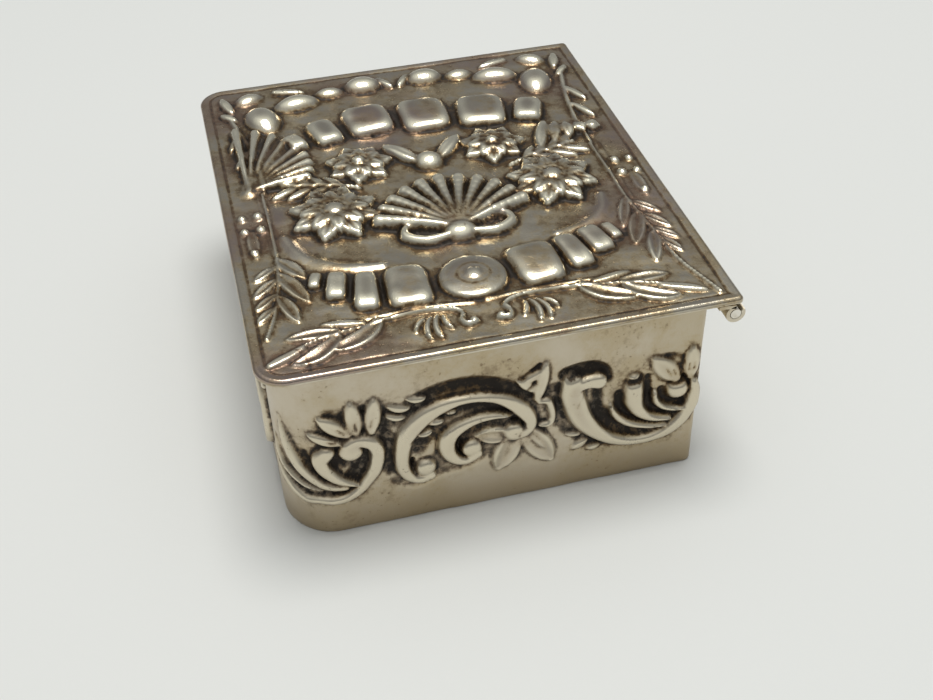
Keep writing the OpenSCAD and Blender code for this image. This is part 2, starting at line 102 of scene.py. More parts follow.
class Board:
    """A drawing board in millimetres: the height of a pressed sheet, and the dirt in its hollows."""

    def __init__(self, low, high):
        self.low = np.array(low, float)
        size = [round((high[k] - low[k]) / BOARD_STEP) + 1 for k in (0, 1)]
        self.axes = [self.low[k] + BOARD_STEP * np.arange(size[k]) for k in (0, 1)]
        self.height = np.zeros(size)
        self.dirt = np.zeros(size)

    def window(self, points, margin):
        """The part of the board within a margin of some points: its slices and its grid of points."""
        points = np.array(points, float)
        cut = []
        for k in (0, 1):
            first = np.floor((points[:, k].min() - margin - self.low[k]) / BOARD_STEP)
            last = np.ceil((points[:, k].max() + margin - self.low[k]) / BOARD_STEP) + 1
            cut.append(slice(int(max(first, 0)), int(max(min(last, len(self.axes[k])), 0))))
        grid = np.meshgrid(self.axes[0][cut[0]], self.axes[1][cut[1]], indexing="ij")
        return tuple(cut), np.stack(grid, -1)

    def stroke(self, points, widths, rise, profile=rounded, sink=False, halo=0.0, smooth=True):
        """A stroke along a smooth run, with a half width and a rise at each of its points."""
        run, share = smooth_run(points) if smooth else (np.array(points, float), None)
        count = len(points)
        if share is None:
            share = np.linspace(0, 1, count)
        widths = np.broadcast_to(np.array(widths, float), (count,)) if np.ndim(widths) else np.full(count, widths)
        rises = np.broadcast_to(np.array(rise, float), (count,)) if np.ndim(rise) else np.full(count, rise)
        stops = np.linspace(0, 1, count)
        cut, grid = self.window(points, max(widths) + 0.6 + halo)
        if grid.size == 0:
            return
        start, step = run[:-1], np.diff(run, axis=0)
        flat = grid.reshape(-1, 1, 2)
        t = ((flat - start) * step).sum(-1) / np.maximum((step ** 2).sum(-1), 1e-9)
        t = t.clip(0, 1)
        away = np.linalg.norm(flat - start - t[..., None] * step, axis=-1)
        best = away.argmin(1)
        rows = np.arange(len(best))
        away, t = away[rows, best], t[rows, best]
        at = share[best] + t * (share[best + 1] - share[best])
        shape = grid.shape[:2]
        width = np.interp(at, stops, widths).reshape(shape)
        lift = np.interp(at, stops, rises).reshape(shape)
        away = away.reshape(shape)
        q = (away / np.maximum(width, 1e-6)).clip(0, 1)
        form = np.where(away < width, lift * profile(q), 0)
        if sink:
            self.height[cut] -= form
        else:
            self.height[cut] = np.where(away < width, np.maximum(self.height[cut], form), self.height[cut])
            self.dirt[cut] = np.where(away < width, self.dirt[cut] * (1 - 0.9 * (1 - q ** 4)), self.dirt[cut])
        if halo:
            edge = (1 - (away - width) / halo).clip(0, 1) * (away >= width)
            self.dirt[cut] = np.maximum(self.dirt[cut], edge)

    def smear(self, points, widths, amount, depth=0.0):
        """Dirt along a smooth run, in a hollow of the given depth."""
        before = self.height.copy()
        keep = self.dirt.copy()
        self.height[:] = 0
        self.stroke(points, widths, 1.0, soft)
        form = self.height.clip(0, 1) ** 0.7
        self.height[:] = before - depth * form
        self.dirt[:] = np.maximum(keep, amount * form)

    def groove(self, points, width, depth, dirt=0.8):
        self.smear(points, width, dirt, depth)

    def leaf(self, start, end, width, rise, profile=petal, halo=0.2, bow=0.0, blunt=0.42):
        """A leaf along a line that bows to its left, widest before its middle."""
        start, end = np.array(start, float), np.array(end, float)
        side = np.array([start[1] - end[1], end[0] - start[0]]) * bow
        places = np.linspace(0, 1, 9)
        points = [start + (end - start) * s + side * 4 * s * (1 - s) for s in places]
        widths = width / 2 * np.sin(np.pi * (0.08 + 0.9 * places)) ** blunt
        self.stroke(points, widths, rise * (0.75 + 0.25 * np.sin(np.pi * places)), profile, halo=halo)

    def bead(self, at, radius, rise, halo=0.2, stretch=1.0, bearing=0.0, power=0.8):
        """A dome, round or drawn out along a bearing."""
        reach = radius * max(stretch, 1)
        cut, grid = self.window([at], reach + halo + 0.2)
        if grid.size == 0:
            return
        c, s = math.cos(math.radians(bearing)), math.sin(math.radians(bearing))
        away = grid - np.array(at, float)
        along = (away[..., 0] * c + away[..., 1] * s) / (radius * stretch)
        across = (away[..., 1] * c - away[..., 0] * s) / radius
        q = np.hypot(along, across)
        inside = q < 1
        form = rise * (1 - q.clip(0, 1) ** 2) ** power
        self.height[cut] = np.where(inside, np.maximum(self.height[cut], form), self.height[cut])
        self.dirt[cut] = np.where(inside, self.dirt[cut] * (1 - 0.9 * (1 - q.clip(0, 1) ** 4)), self.dirt[cut])
        if halo:
            edge = (1 - (q - 1) * radius / halo).clip(0, 1) * (q >= 1)
            self.dirt[cut] = np.maximum(self.dirt[cut], edge)

    def cushion(self, at, half, rise, bearing=0.0, taper=0.0, dish=0.0, halo=0.35):
        """A puffed tile with round corners, narrower towards its far end by a share taper."""
        cut, grid = self.window([at], max(half) * 1.5 + halo)
        c, s = math.cos(math.radians(bearing)), math.sin(math.radians(bearing))
        away = grid - np.array(at, float)
        along = (away[..., 0] * c + away[..., 1] * s) / half[0]
        across = (away[..., 1] * c - away[..., 0] * s) / half[1]
        across = across / (1 + taper * along.clip(-1.2, 1.2))
        q = (np.abs(along) ** 4 + np.abs(across) ** 4) ** 0.25
        inside = q < 1
        form = rise * np.sqrt(1 - q.clip(0, 1) ** 5) * (0.8 + 0.2 * (1 - q ** 2)) * (1 - dish * (1 - q.clip(0, 1) ** 2))
        self.height[cut] = np.where(inside, np.maximum(self.height[cut], form), self.height[cut])
        self.dirt[cut] = np.where(inside, self.dirt[cut] * (1 - 0.9 * (1 - q.clip(0, 1) ** 6)), self.dirt[cut])
        edge = (1 - (q - 1) * min(half) / halo).clip(0, 1) * (q >= 1)
        self.dirt[cut] = np.maximum(self.dirt[cut], edge)

    def ripple(self, length, amount, seed):
        """Uneven metal: soft waves of about the given length, up to the given height."""
        chance = np.random.default_rng(seed)
        x, y = np.meshgrid(*self.axes, indexing="ij")
        waves = np.zeros_like(x)
        for _ in range(14):
            bearing, phase = chance.uniform(0, 2 * math.pi, 2)
            pitch = 2 * math.pi / (length * chance.uniform(0.6, 1.8))
            waves += np.sin(pitch * (x * math.cos(bearing) + y * math.sin(bearing)) + phase)
        return amount * waves / 5

    def blurred(self, field, radius):
        """A field blurred by a bell curve of the given radius in millimetres."""
        spread = radius / BOARD_STEP
        taps = np.arange(-int(3 * spread) - 1, int(3 * spread) + 2)
        bell = np.exp(-0.5 * (taps / spread) ** 2)
        bell /= bell.sum()
        pad = len(taps) // 2
        for axis in (0, 1):
            padded = np.pad(field, [(pad, pad) if k == axis else (0, 0) for k in (0, 1)], mode="edge")
            field = sum(
                weight * np.take(padded, range(n, n + field.shape[axis]), axis)
                for n, weight in enumerate(bell)
            )
        return field

    def sampled(self, field, points):
        """A field's values at points, between the board's own grid points."""
        place = [((points[:, k] - self.low[k]) / BOARD_STEP).clip(0, len(self.axes[k]) - 1.001) for k in (0, 1)]
        i, j = place[0].astype(int), place[1].astype(int)
        a, b = place[0] - i, place[1] - j
        return (
            field[i, j] * (1 - a) * (1 - b) + field[i + 1, j] * a * (1 - b)
            + field[i, j + 1] * (1 - a) * b + field[i + 1, j + 1] * a * b
        )


def eased(height, deepest, knee, highest):
    """Heights held between two bounds, with a soft shoulder from the knee to the highest."""
    over = height.clip(knee, None) - knee
    soft_top = knee + (highest - knee) * (1 - np.exp(-over / (highest - knee)))
    return np.where(height > knee, soft_top, height).clip(deepest, highest)


def smooth_run(points, stops=6):
    """Points of a smooth run through given points, and each one's share of the run."""
    p = np.array(points, float)
    if len(p) == 2:
        return p, np.array([0.0, 1.0])
    ends = np.vstack([p[:1], p, p[-1:]])
    run, share = [], []
    for i in range(len(p) - 1):
        a, b, c, d = ends[i:i + 4]
        for k in range(stops):
            t = k / stops
            run.append((2 * b + (c - a) * t + (2 * a - 5 * b + 4 * c - d) * t ** 2
                        + (3 * b - a - 3 * c + d) * t ** 3) / 2)
            share.append((i + t) / (len(p) - 1))
    run.append(p[-1])
    share.append(1.0)
    return np.array(run), np.array(share)


# The wall strip is drawn as one half, from the middle of the front round to the back. Its first
# axis is the way along the strip, its second the height.
FRONT_FLAT = BODY_W / 2 - FRONT_R
CORNER_RUN = FRONT_R * math.pi / 2
SIDE_START = FRONT_FLAT + CORNER_RUN - FRONT_R
SIDE_FLAT_END = SIDE_START + BODY_D - BACK_R
BACK_CORNER_RUN = BACK_R * math.pi / 2
STRIP_END = SIDE_FLAT_END + BACK_CORNER_RUN + BODY_W / 2 - BACK_R - BACK_RETURN_X


def on_side(points):
    """Points of the side's drawing, measured back from the front wall, on the strip."""
    return [(SIDE_START + p[0], p[1]) for p in points]


FRONT_SCROLL_X = 28.6


def on_front(points):
    """The same drawing turned round on the front wall, with its leaves towards the middle."""
    return [(FRONT_SCROLL_X - p[0], p[1]) for p in points]


def great_scroll(board, place):
    """A large C scroll over a small one, with leaves at its end."""
    # The hollow ground in and above the scrolls
    board.smear(place([(10.2, 12.4), (12, 14.2), (14.2, 15.3), (16.6, 15.6), (19, 15.2), (21.4, 14.2), (23.2, 12.9)]),
                [0.8, 1.0, 1.0, 1.05, 1.0, 0.9, 0.6], 1.0, 0.28)
    board.smear(place([(12.6, 8.8), (13.5, 10.2), (14.6, 11.7), (16.4, 12.7), (18.6, 12.8), (20.4, 12.2), (21.6, 11)]),
                [1.1, 1.2, 1.2, 1.1, 1.1, 0.9, 0.6], 1.0, 0.3)
    board.smear(place([(16.5, 8.4), (17, 9.4), (18.4, 10.1), (20, 10.4), (21.6, 10.4)]), [0.5, 0.8, 0.9, 0.9, 0.8], 0.9, 0.25)
    board.smear(place([(9.7, 13.6), (9.7, 11), (9.6, 8.6), (9.8, 6.6)]), [1.2, 0.9, 0.8, 0.7], 1.0, 0.25)
    board.smear(place([(10.2, 5.4), (12.2, 4.3), (14.4, 5.4), (17, 5.6), (19, 6.6)]), [0.7, 0.6, 0.9, 0.6, 1.1], 0.6, 0.12)
    board.smear(place([(24, 12.6), (26, 12.9), (25.9, 10.4), (26, 8.6)]), [0.7, 0.9, 0.8, 0.9], 0.85, 0.2)
    board.smear(place([(18.9, 8.4), (20.2, 8.6), (22.2, 7), (24.4, 8.2)]), [1.2, 1.2, 1.0, 1.0], 0.7, 0.15)
    # The large band, with a lobed inner edge, and its curled ends
    board.stroke(place([(13.6, 5.5), (12.5, 5.25), (11.5, 5.9), (11.0, 6.9), (10.9, 8), (11.05, 9.4), (11.5, 10.9),
                        (12.4, 12.1), (13.6, 13.1), (15, 13.75), (16.6, 14.05), (18.2, 13.95), (19.8, 13.5),
                        (21.2, 12.65), (22.3, 11.5), (23.0, 10.3), (23.1, 9.4), (22.6, 8.7), (21.8, 8.4)]),
                 [0.5, 0.5, 0.68, 0.75, 0.78, 0.84, 1.0, 1.05, 0.95, 0.75, 0.5, 0.48, 0.56, 0.78, 0.9, 0.78, 0.7,
                  0.62, 0.4], 0.72, flat_topped, halo=0.3)
    for at, r, rise in [((13.1, 6.5), 1.0, 0.74), ((21.6, 8.9), 1.05, 0.74)]:
        board.bead(place([at])[0], r, rise, power=0.3)
    board.groove(place([(12.2, 5.7), (11.85, 6.6), (11.9, 7.6)]), [0.06, 0.2, 0.3], 0.4)
    board.groove(place([(22.65, 9.2), (22.3, 9.9), (21.6, 10)]), [0.06, 0.24, 0.3], 0.4)
    for start, end, width in [((12.7, 10.6), (13.9, 10.9), 0.9), ((13.6, 11.9), (15, 11.9), 0.9),
                              ((14.9, 12.9), (16.2, 12.7), 0.7)]:
        board.leaf(*place([start, end]), width, 0.5, rounded)
    for run in [[(12, 9.5), (12.9, 9.8)], [(12.9, 11), (13.8, 11.5)], [(14.6, 12.6), (15.8, 13)],
                [(12.3, 10.5), (11.9, 10.1)]]:
        board.groove(place(run), 0.16, 0.25)
    # The small band
    board.stroke(place([(18.1, 7.1), (17, 6.55), (16.1, 6.8), (15.4, 7.6), (15.15, 8.7), (15.4, 9.75), (16.1, 10.5),
                        (17.2, 11.1), (18.4, 11.4), (19.8, 11.4), (21.4, 11.1)]),
                 [0.5, 0.5, 0.62, 0.8, 0.93, 0.93, 0.76, 0.6, 0.48, 0.36, 0.1], 0.72, flat_topped, halo=0.28)
    board.bead(place([(17.5, 7.8)])[0], 1.05, 0.74, power=0.3)
    board.groove(place([(16.95, 7), (16.35, 7.6), (16.4, 8.6)]), [0.06, 0.2, 0.3], 0.4)
    # Outlined petals and the bracket behind them
    board.leaf(*place([(21, 8.6), (18.2, 9.1)]), 2.1, 0.6, rimmed)
    board.leaf(*place([(21.6, 8.2), (20.1, 4.5)]), 2.7, 0.62, rimmed)
    board.leaf(*place([(22.8, 8.5), (25.2, 4.4)]), 2.7, 0.62, rimmed)
    board.leaf(*place([(23.3, 7.8), (24.6, 5.9)]), 0.6, 0.5, rounded, halo=0.1)
    board.stroke(place([(23.9, 12), (24.8, 11.8), (25.15, 10.8), (25.3, 9.6), (24.9, 9), (24.1, 9.1)]),
                 [0.25, 0.4, 0.42, 0.38, 0.35, 0.25], 0.5, flat_topped, halo=0.25)
    board.groove(place([(24.9, 11), (25.2, 9.4)]), 0.09, 0.12)
    # Leaf bud over the band, and small leaves before it
    board.leaf(*place([(23.8, 12.4), (24.6, 16.3)]), 1.5, 0.62)
    board.leaf(*place([(24, 13.3), (22, 14.8)]), 1.3, 0.5)
    board.leaf(*place([(22.5, 14.6), (24.4, 15.6)]), 1.0, 0.5)
    board.groove(place([(23.1, 15.5), (24.1, 16.2)]), [0.16, 0.26], 0.2, 1.0)
    board.groove(place([(22.9, 13.7), (23.6, 14.5)]), 0.16, 0.3, 1.0)
    for start, end, width in [((9.9, 13.6), (11.5, 13.1), 0.62), ((10.1, 14.7), (12, 14.1), 0.7),
                              ((11.9, 15.1), (13.5, 15), 0.62)]:
        board.leaf(*place([start, end]), 1.3 * width, 0.42, bow=-0.1 if place is on_side else 0.1)


def corner_scroll(board):
    """The scroll at the front corner, with four petals over it and tails that run round the corner."""
    s = on_side
    board.smear(s([(4.7, 15), (6.4, 14.6), (8.6, 14.8)]), [0.8, 1.0, 0.9], 0.55, 0.15)
    board.smear(s([(4.4, 12.9), (5.6, 12), (7.2, 12.4), (8.8, 12.3), (9.8, 11.4)]), [0.4, 0.6, 0.6, 0.5, 0.6], 1.0, 0.2)
    board.smear(s([(4.6, 9.2), (6, 8.9), (7.2, 9), (6.4, 7.4)]), [0.9, 1.1, 1.2, 1.0], 1.0, 0.35)
    board.smear(s([(2.1, 10.4), (2.4, 8.9), (3.4, 7.6), (4.8, 6.2)]), [0.5, 0.5, 0.5, 0.4], 0.9, 0.12)
    # Tails, which rise round the corner of the box
    board.stroke(s([(5.6, 5.9), (3.9, 6.5), (2.7, 7.5), (1.7, 8.6), (1, 9.8), (0.5, 11), (0.1, 12.3), (-0.3, 13.9)]),
                 [0.35, 0.5, 0.62, 0.66, 0.66, 0.6, 0.45, 0.15], [0.5, 0.6, 0.6, 0.6, 0.55, 0.5, 0.35, 0.05],
                 flat_topped, halo=0.2)
    board.stroke(s([(3.5, 5.75), (2, 6.35), (0.7, 7.2), (-0.4, 8.1), (-1.1, 9.3), (-1.6, 10.8)]),
                 [0.1, 0.32, 0.4, 0.4, 0.34, 0.12], [0.3, 0.5, 0.5, 0.45, 0.35, 0.1], rounded, halo=0.2)
    board.stroke(s([(7.3, 11.4), (8.2, 10.95), (8.7, 10), (8.7, 8.9), (8.35, 7.6), (7.7, 6.6), (6.8, 5.5), (5.6, 4.75),
                    (4.4, 4.6), (3.2, 4.75), (2, 4.7), (0.9, 5.3), (-0.2, 6.3), (-1.3, 7.7), (-2.2, 9.2)]),
                 [0.7, 0.74, 0.76, 0.76, 0.74, 0.66, 0.58, 0.54, 0.5, 0.46, 0.46, 0.5, 0.5, 0.4, 0.15],
                 [0.72] * 9 + [0.66, 0.6, 0.55, 0.45, 0.3, 0.1], flat_topped, halo=0.22)
    board.bead(s([(6.35, 10.45)])[0], 1.2, 0.74, power=0.3)
    board.stroke(s([(6, 11.2), (6.9, 11.5), (7.6, 11.3)]), [0.5, 0.62, 0.7], 0.72, flat_topped)
    board.groove(s([(7.15, 10.9), (7.6, 10.3), (7.7, 9.6)]), [0.06, 0.2, 0.3], 0.45)
    board.groove(s([(5.6, 5.5), (4.4, 5.4), (3.6, 5.6)]), [0.3, 0.25, 0.1], 0.3)
    # The comma-shaped petal inside
    board.stroke(s([(4.2, 10.6), (3.6, 9.8), (3.7, 8.8), (4.3, 7.8), (5.2, 6.9), (6.6, 6.15)]),
                 [0.8, 0.92, 0.76, 0.62, 0.5, 0.2], 0.66, flat_topped, halo=0.2)
    board.groove(s([(4.1, 9.6), (4.7, 8.8), (5.3, 7.7)]), [0.06, 0.14, 0.2], 0.2)
    for start, end, width in [((5.3, 11.5), (2.8, 12.8), 1.2), ((6.2, 12.4), (3.9, 14.6), 1.75),
                              ((7.0, 12.5), (6.7, 15.8), 1.8), ((8.4, 12.3), (8.8, 15.8), 1.8)]:
        board.leaf(*s([start, end]), width, 0.6)
    for run in [[(5.9, 12.6), (5.3, 13.4)], [(7, 12.9), (6.9, 13.8)], [(8.3, 12.9), (8.5, 13.8)],
                [(5, 11.7), (4.3, 12.1)]]:
        board.groove(s(run), [0.16, 0.08], 0.2, 1.0)


def acanthus_scroll(board):
    """The leafy scroll near the back corner."""
    s = on_side
    board.smear(s([(26.6, 14.4), (28, 14.7), (29.4, 14.6), (30.5, 13.9), (30.8, 13)]), [0.9, 0.9, 0.9, 0.6, 0.5], 1.0, 0.4)
    board.smear(s([(29.6, 11.6), (29.8, 9.6), (30.4, 8.2), (31.6, 6.9), (33.2, 6.1), (34.8, 5.8)]),
                [0.8, 0.9, 1.0, 0.9, 0.8, 0.4], 1.0, 0.35)
    board.smear(s([(31.8, 10.8), (32, 9.2), (33, 7.9), (34.4, 7.2)]), [0.6, 0.7, 0.7, 0.5], 1.0, 0.28)
    board.smear(s([(34.6, 12.2), (34.8, 10), (35.2, 8.4), (36.6, 7.6)]), [0.5, 0.6, 0.7, 0.4], 1.0, 0.3)
    board.smear(s([(36, 10.4), (36.4, 9.2), (37.4, 8.6), (38.4, 8.4)]), [0.5, 0.6, 0.6, 0.4], 1.0, 0.25)
    board.smear(s([(26, 9.4), (26.6, 7.6), (28, 6.2), (30, 5)]), [0.8, 0.7, 0.7, 0.5], 0.7, 0.12)
    board.smear(s([(35, 13.8), (36.4, 14.4), (38, 13.8), (38.6, 12)]), [0.5, 0.5, 0.4, 0.5], 0.7, 0.12)
    # The main stem and its hooked head
    board.stroke(s([(27.1, 13.6), (27.1, 12.2), (27.5, 10.6), (28.0, 9.1), (28.7, 7.9), (29.7, 6.7), (31, 5.6),
                    (32.5, 4.9), (34, 4.65), (35.5, 4.75), (37, 5.3), (38.3, 6.5), (39, 8), (39.2, 9.5), (39.1, 11)]),
                 [1.0, 1.25, 1.25, 1.2, 1.08, 0.86, 0.66, 0.56, 0.52, 0.56, 0.76, 0.78, 0.7, 0.6, 0.35],
                 0.72, flat_topped, halo=0.28)
    board.stroke(s([(27.4, 12.9), (28.6, 13.3), (29.6, 13.2)]), [0.7, 0.75, 0.9], [0.7, 0.8, 0.85], flat_topped, halo=0.2)
    board.smear(s([(26.9, 14.1), (27.9, 14.5), (28.9, 14.9)]), [0.5, 0.5, 0.4], 1.0, 0.35)
    board.groove(s([(28, 12.5), (28.9, 12.5), (29.6, 12.1)]), [0.08, 0.14, 0.2], 0.3)
    board.groove(s([(28.3, 11.8), (27.8, 11.3), (27.6, 10.5)]), 0.1, 0.12, 0.6)
    # Feathers that spring from it
    board.stroke(s([(31, 9.8), (31.3, 8.8), (31.9, 7.9), (32.8, 7.1), (33.8, 6.6), (35, 6.2), (36.6, 6)]),
                 [0.15, 0.42, 0.5, 0.5, 0.45, 0.38, 0.3], 0.62, rounded, halo=0.2)
    board.stroke(s([(33.2, 12.3), (33.2, 11), (33.3, 9.7), (33.7, 8.6), (34.5, 7.7), (35.6, 7.1), (37, 6.8)]),
                 [0.8, 1.1, 1.08, 0.85, 0.62, 0.46, 0.3], 0.75, rounded, halo=0.25)
    board.smear(s([(32.9, 12.2), (33.7, 12.3)]), [0.6, 0.6], 1.0, 0.55)
    board.stroke(s([(35.3, 10.3), (35.5, 9.2), (36.2, 8.4), (37.2, 7.9), (38.4, 7.7)]),
                 [0.3, 0.42, 0.4, 0.36, 0.25], 0.62, rounded, halo=0.2)
    board.bead(s([(37.6, 10.2)])[0], 1.15, 0.75, power=0.5)
    board.smear(s([(37, 11.2), (37.7, 11.2), (38.4, 11.6)]), [0.42, 0.5, 0.35], 1.0, 0.5)
    board.groove(s([(38.6, 9.4), (38.85, 10.2)]), 0.12, 0.25)
    board.leaf(*s([(37.3, 11.6), (35.1, 14.3)]), 2.3, 0.5)
    board.leaf(*s([(38.75, 11.6), (38.8, 14.9)]), 1.7, 0.5)
    for run in [[(36.8, 12.1), (36.2, 13.1)], [(37.2, 12.2), (36.9, 12.9)], [(38.5, 12.5), (38.5, 13.4)],
                [(39, 12.5), (39, 13.4)]]:
        board.groove(s(run), [0.14, 0.08], 0.2, 1.0)
    for start, end, width in [((26.8, 7), (28.1, 6.7), 0.5), ((28.7, 5.8), (27.4, 5), 0.8), ((30, 4.9), (28.9, 4.6), 0.7)]:
        board.leaf(*s([start, end]), 1.3 * width, 0.4, halo=0.15)


def drawn_wall():
    board = Board((0, 0), (STRIP_END, WALL_H))
    great_scroll(board, on_front)
    great_scroll(board, on_side)
    corner_scroll(board)
    acanthus_scroll(board)
    # A pointed leaf on the middle of the front, over a smaller one on each side
    board.leaf((0, 9.2), (0, 14.8), 2.4, 0.6)
    board.leaf((0.4, 8.6), (2.4, 4.6), 1.3, 0.55)
    board.height += board.ripple(6, 0.03, 1) + board.ripple(1.2, 0.008, 2)
    board.height = eased(board.height, -0.4, 0.6, WALL_RELIEF)
    return board


def leafy_stem(board, stem, leaves, rise=0.3):
    """A thin stem with leaves: each leaf has its two ends and its width."""
    board.stroke(stem, 0.2, rise, halo=0.2)
    for start, end, width in leaves:
        board.leaf(start, end, 1.25 * width, rise + 0.15, rimmed, halo=0.14, blunt=0.6)
        board.groove([start, (np.array(start) + 0.75 * (np.array(end) - start))], 0.07, 0.07, 0.5)


def near_edge(board):
    """Sprays along the near edge: a curl in the middle, an arched stem and open leaves."""
    for side, curl in [(-1, -2.5), (1, 0.6)]:
        def m(x, y):
            return (x, curl + side * y)
        board.stroke([m(22.9, -0.6), m(23.1, 0.3), m(22.3, 0.7), m(21.3, -0.1 + 0.5), m(20.6, 1.2), m(20.25, 2.8),
                      m(20.2, 4.8), m(20.3, 6.6), m(20.5, 8.2)], [0.2, 0.3, 0.3, 0.28, 0.26, 0.25, 0.24, 0.24, 0.2],
                     [0.5, 0.55, 0.5, 0.45, 0.42, 0.4, 0.38, 0.36, 0.34], halo=0.25)
        board.bead(m(22.7, -0.3), 0.55, 0.6)
        board.stroke([m(20.1, -1), m(19.7, 1.5), m(19.55, 4.5), m(19.6, 7.5), m(19.9, 10.6)], 0.22, 0.14, halo=0.2)
        board.leaf(m(20.5, 8), m(23.2, 12.4), 2.1, 0.5, rimmed, bow=-0.12 * side)
        board.leaf(m(21.7, 11.8), m(24.2, 15.9), 1.9, 0.5, rimmed, bow=-0.12 * side)
        board.leaf(m(22.4, 14.9), m(24.2, 18.6), 1.1, 0.4)
        board.leaf(m(20.2, 9.2), m(19.6, 12.8), 1.0, 0.34)
        board.leaf(m(20.8, 11.8), m(20.8, 16), 1.6, 0.42, rimmed)
        board.stroke([m(20.6, 8.4), m(21.1, 11.2), m(21.9, 14.2), m(22.6, 16)], 0.16, 0.34)
        # A small acanthus drop under the stem
        for foot, tip, width in [((21.3, 2.2), (23.2, 1.7), 0.6), ((21.2, 2.7), (24.3, 2.9), 0.75),
                                 ((21.3, 3.3), (24.2, 3.9), 0.7), ((21.4, 3.9), (22.9, 5), 0.6)]:
            board.leaf(m(*foot), m(*tip), width, 0.42, rounded, halo=0.16, bow=0.12 * side)
    board.cushion((24.4, -18.9), (1.6, 1.5), -0.2, 10)


def near_garland(board):
    """Puffed tiles in an arc, with an oval boss in their middle."""
    for at, half, bearing, taper in [
        ((16.3, -6.8), (3.1, 2.2), -3, 0.03), ((15.9, -10.6), (2.9, 1.25), -8, 0.1), ((14.5, -13.1), (2.1, 1.05), -12, 0.05),
        ((13.2, -14.9), (1.2, 0.65), -16, 0), ((16, 5.5), (3.2, 2.45), 5, -0.06), ((15.2, 9.4), (2.8, 1.35), 10, 0.06),
        ((14, 12), (2.2, 1.3), 14, 0), ((13.1, 13.9), (1.4, 0.7), 18, 0),
    ]:
        board.cushion(at, half, 1.0 if half[0] > 1.5 else 0.7, bearing, taper, 0.1)
    board.bead((16.6, -0.7), 3.3, 0.85, 0.4, power=0.3)
    for n in range(40):
        bearing = math.radians(9 * n)
        out = np.array([math.cos(bearing), math.sin(bearing)])
        board.groove([np.array([16.6, -0.7]) + 2.35 * out, np.array([16.6, -0.7]) + 2.6 * out], 0.3, 0.012, 0.25)
    board.bead((16.7, -0.7), 1.45, 1.1, 0.3, power=0.6)
    board.stroke([(5.4, -16.6), (8.2, -15.8), (10.2, -14.2), (11.6, -11.6), (12.3, -8.4)], [0.9, 1.2, 1.3, 1.2, 0.8],
                 0.28, soft)
    board.stroke([(6.4, 15.2), (9, 14.4), (10.8, 12.4), (11.8, 9)], [0.7, 1.0, 1.0, 0.7], 0.22, soft)


def far_garland(board):
    for at, half, bearing in [((-14.3, -4.6), (3.0, 2.7), 6), ((-13.9, 1.6), (3.4, 2.8), 0), ((-12.9, 7.9), (3.3, 2.8), -8),
                              ((-11.6, 12.9), (2.3, 1.7), -18), ((-13, -9.6), (2.6, 1.7), 14), ((-11.4, -13), (1.6, 1.1), 24)]:
        board.cushion(at, half, 1.2, bearing, 0, 0.08)


def far_corners(board):
    """A fluted fan at the far front corner, a shell at the back one, and lobes along the far edge."""
    foot = np.array([-3.6, -18.9])
    board.stroke([foot, (-7, -16.4), (-10.4, -15)], [1.2, 3.2, 4.4], [0.4, 0.75, 0.55], soft)
    for n in range(9):
        bearing = math.radians(100 + 10 * n)
        reach = 6.2 + 0.75 * n
        tip = foot + reach * np.array([math.cos(bearing), math.sin(bearing)])
        board.stroke([foot, (foot + tip) / 2, tip], [0.25, 0.5, 0.7], [0.35, 0.85, 0.8], halo=0.15)
    for side in (-1, 1):
        def m(x, y):
            return (x, side * y)
        board.bead(m(-17.9, 15.7), 2.0, 1.2, stretch=1.5, bearing=-12 * side)
        board.bead(m(-20.4, 11.5), 1.6, 1.1, stretch=1.7, bearing=80 * side)
        board.bead(m(-22.4, 3.6), 1.7, 1.1, stretch=1.3, bearing=90)
        board.bead(m(-21.9, 7.6), 1.1, 0.7, stretch=1.6, bearing=90)
        board.bead(m(-23, 16.6), 1.2, 0.7, stretch=1.5, bearing=60 * side)
        for foot_at, tip_at, wide in [((-20.6, 18.8), (-23.6, 19.6), 1.3), ((-18.6, 18.6), (-20.2, 20), 1.1),
                                      ((-23.8, 13.6), (-22.8, 10.4), 1.2), ((-23.4, 1.8), (-21.2, 0.4), 1.1),
                                      ((-15.4, 18.4), (-12.2, 19.8), 1.1), ((-11.4, 18), (-8.4, 19.6), 1.0)]:
            board.leaf(m(*foot_at), m(*tip_at), wide, 0.6)
        board.stroke([m(-19.4, 19.2), m(-14, 18.1), m(-9, 17.5), m(-3, 17.4)], [0.3, 0.35, 0.3, 0.2], 0.35, halo=0.25)
    for n in range(5):
        tip = (-3.6 - 0.6 * n, 12 + 1.8 * n)
        board.leaf((-8 + 0.4 * n, 13.6 + 1.1 * n), tip, 1.9, 0.9)


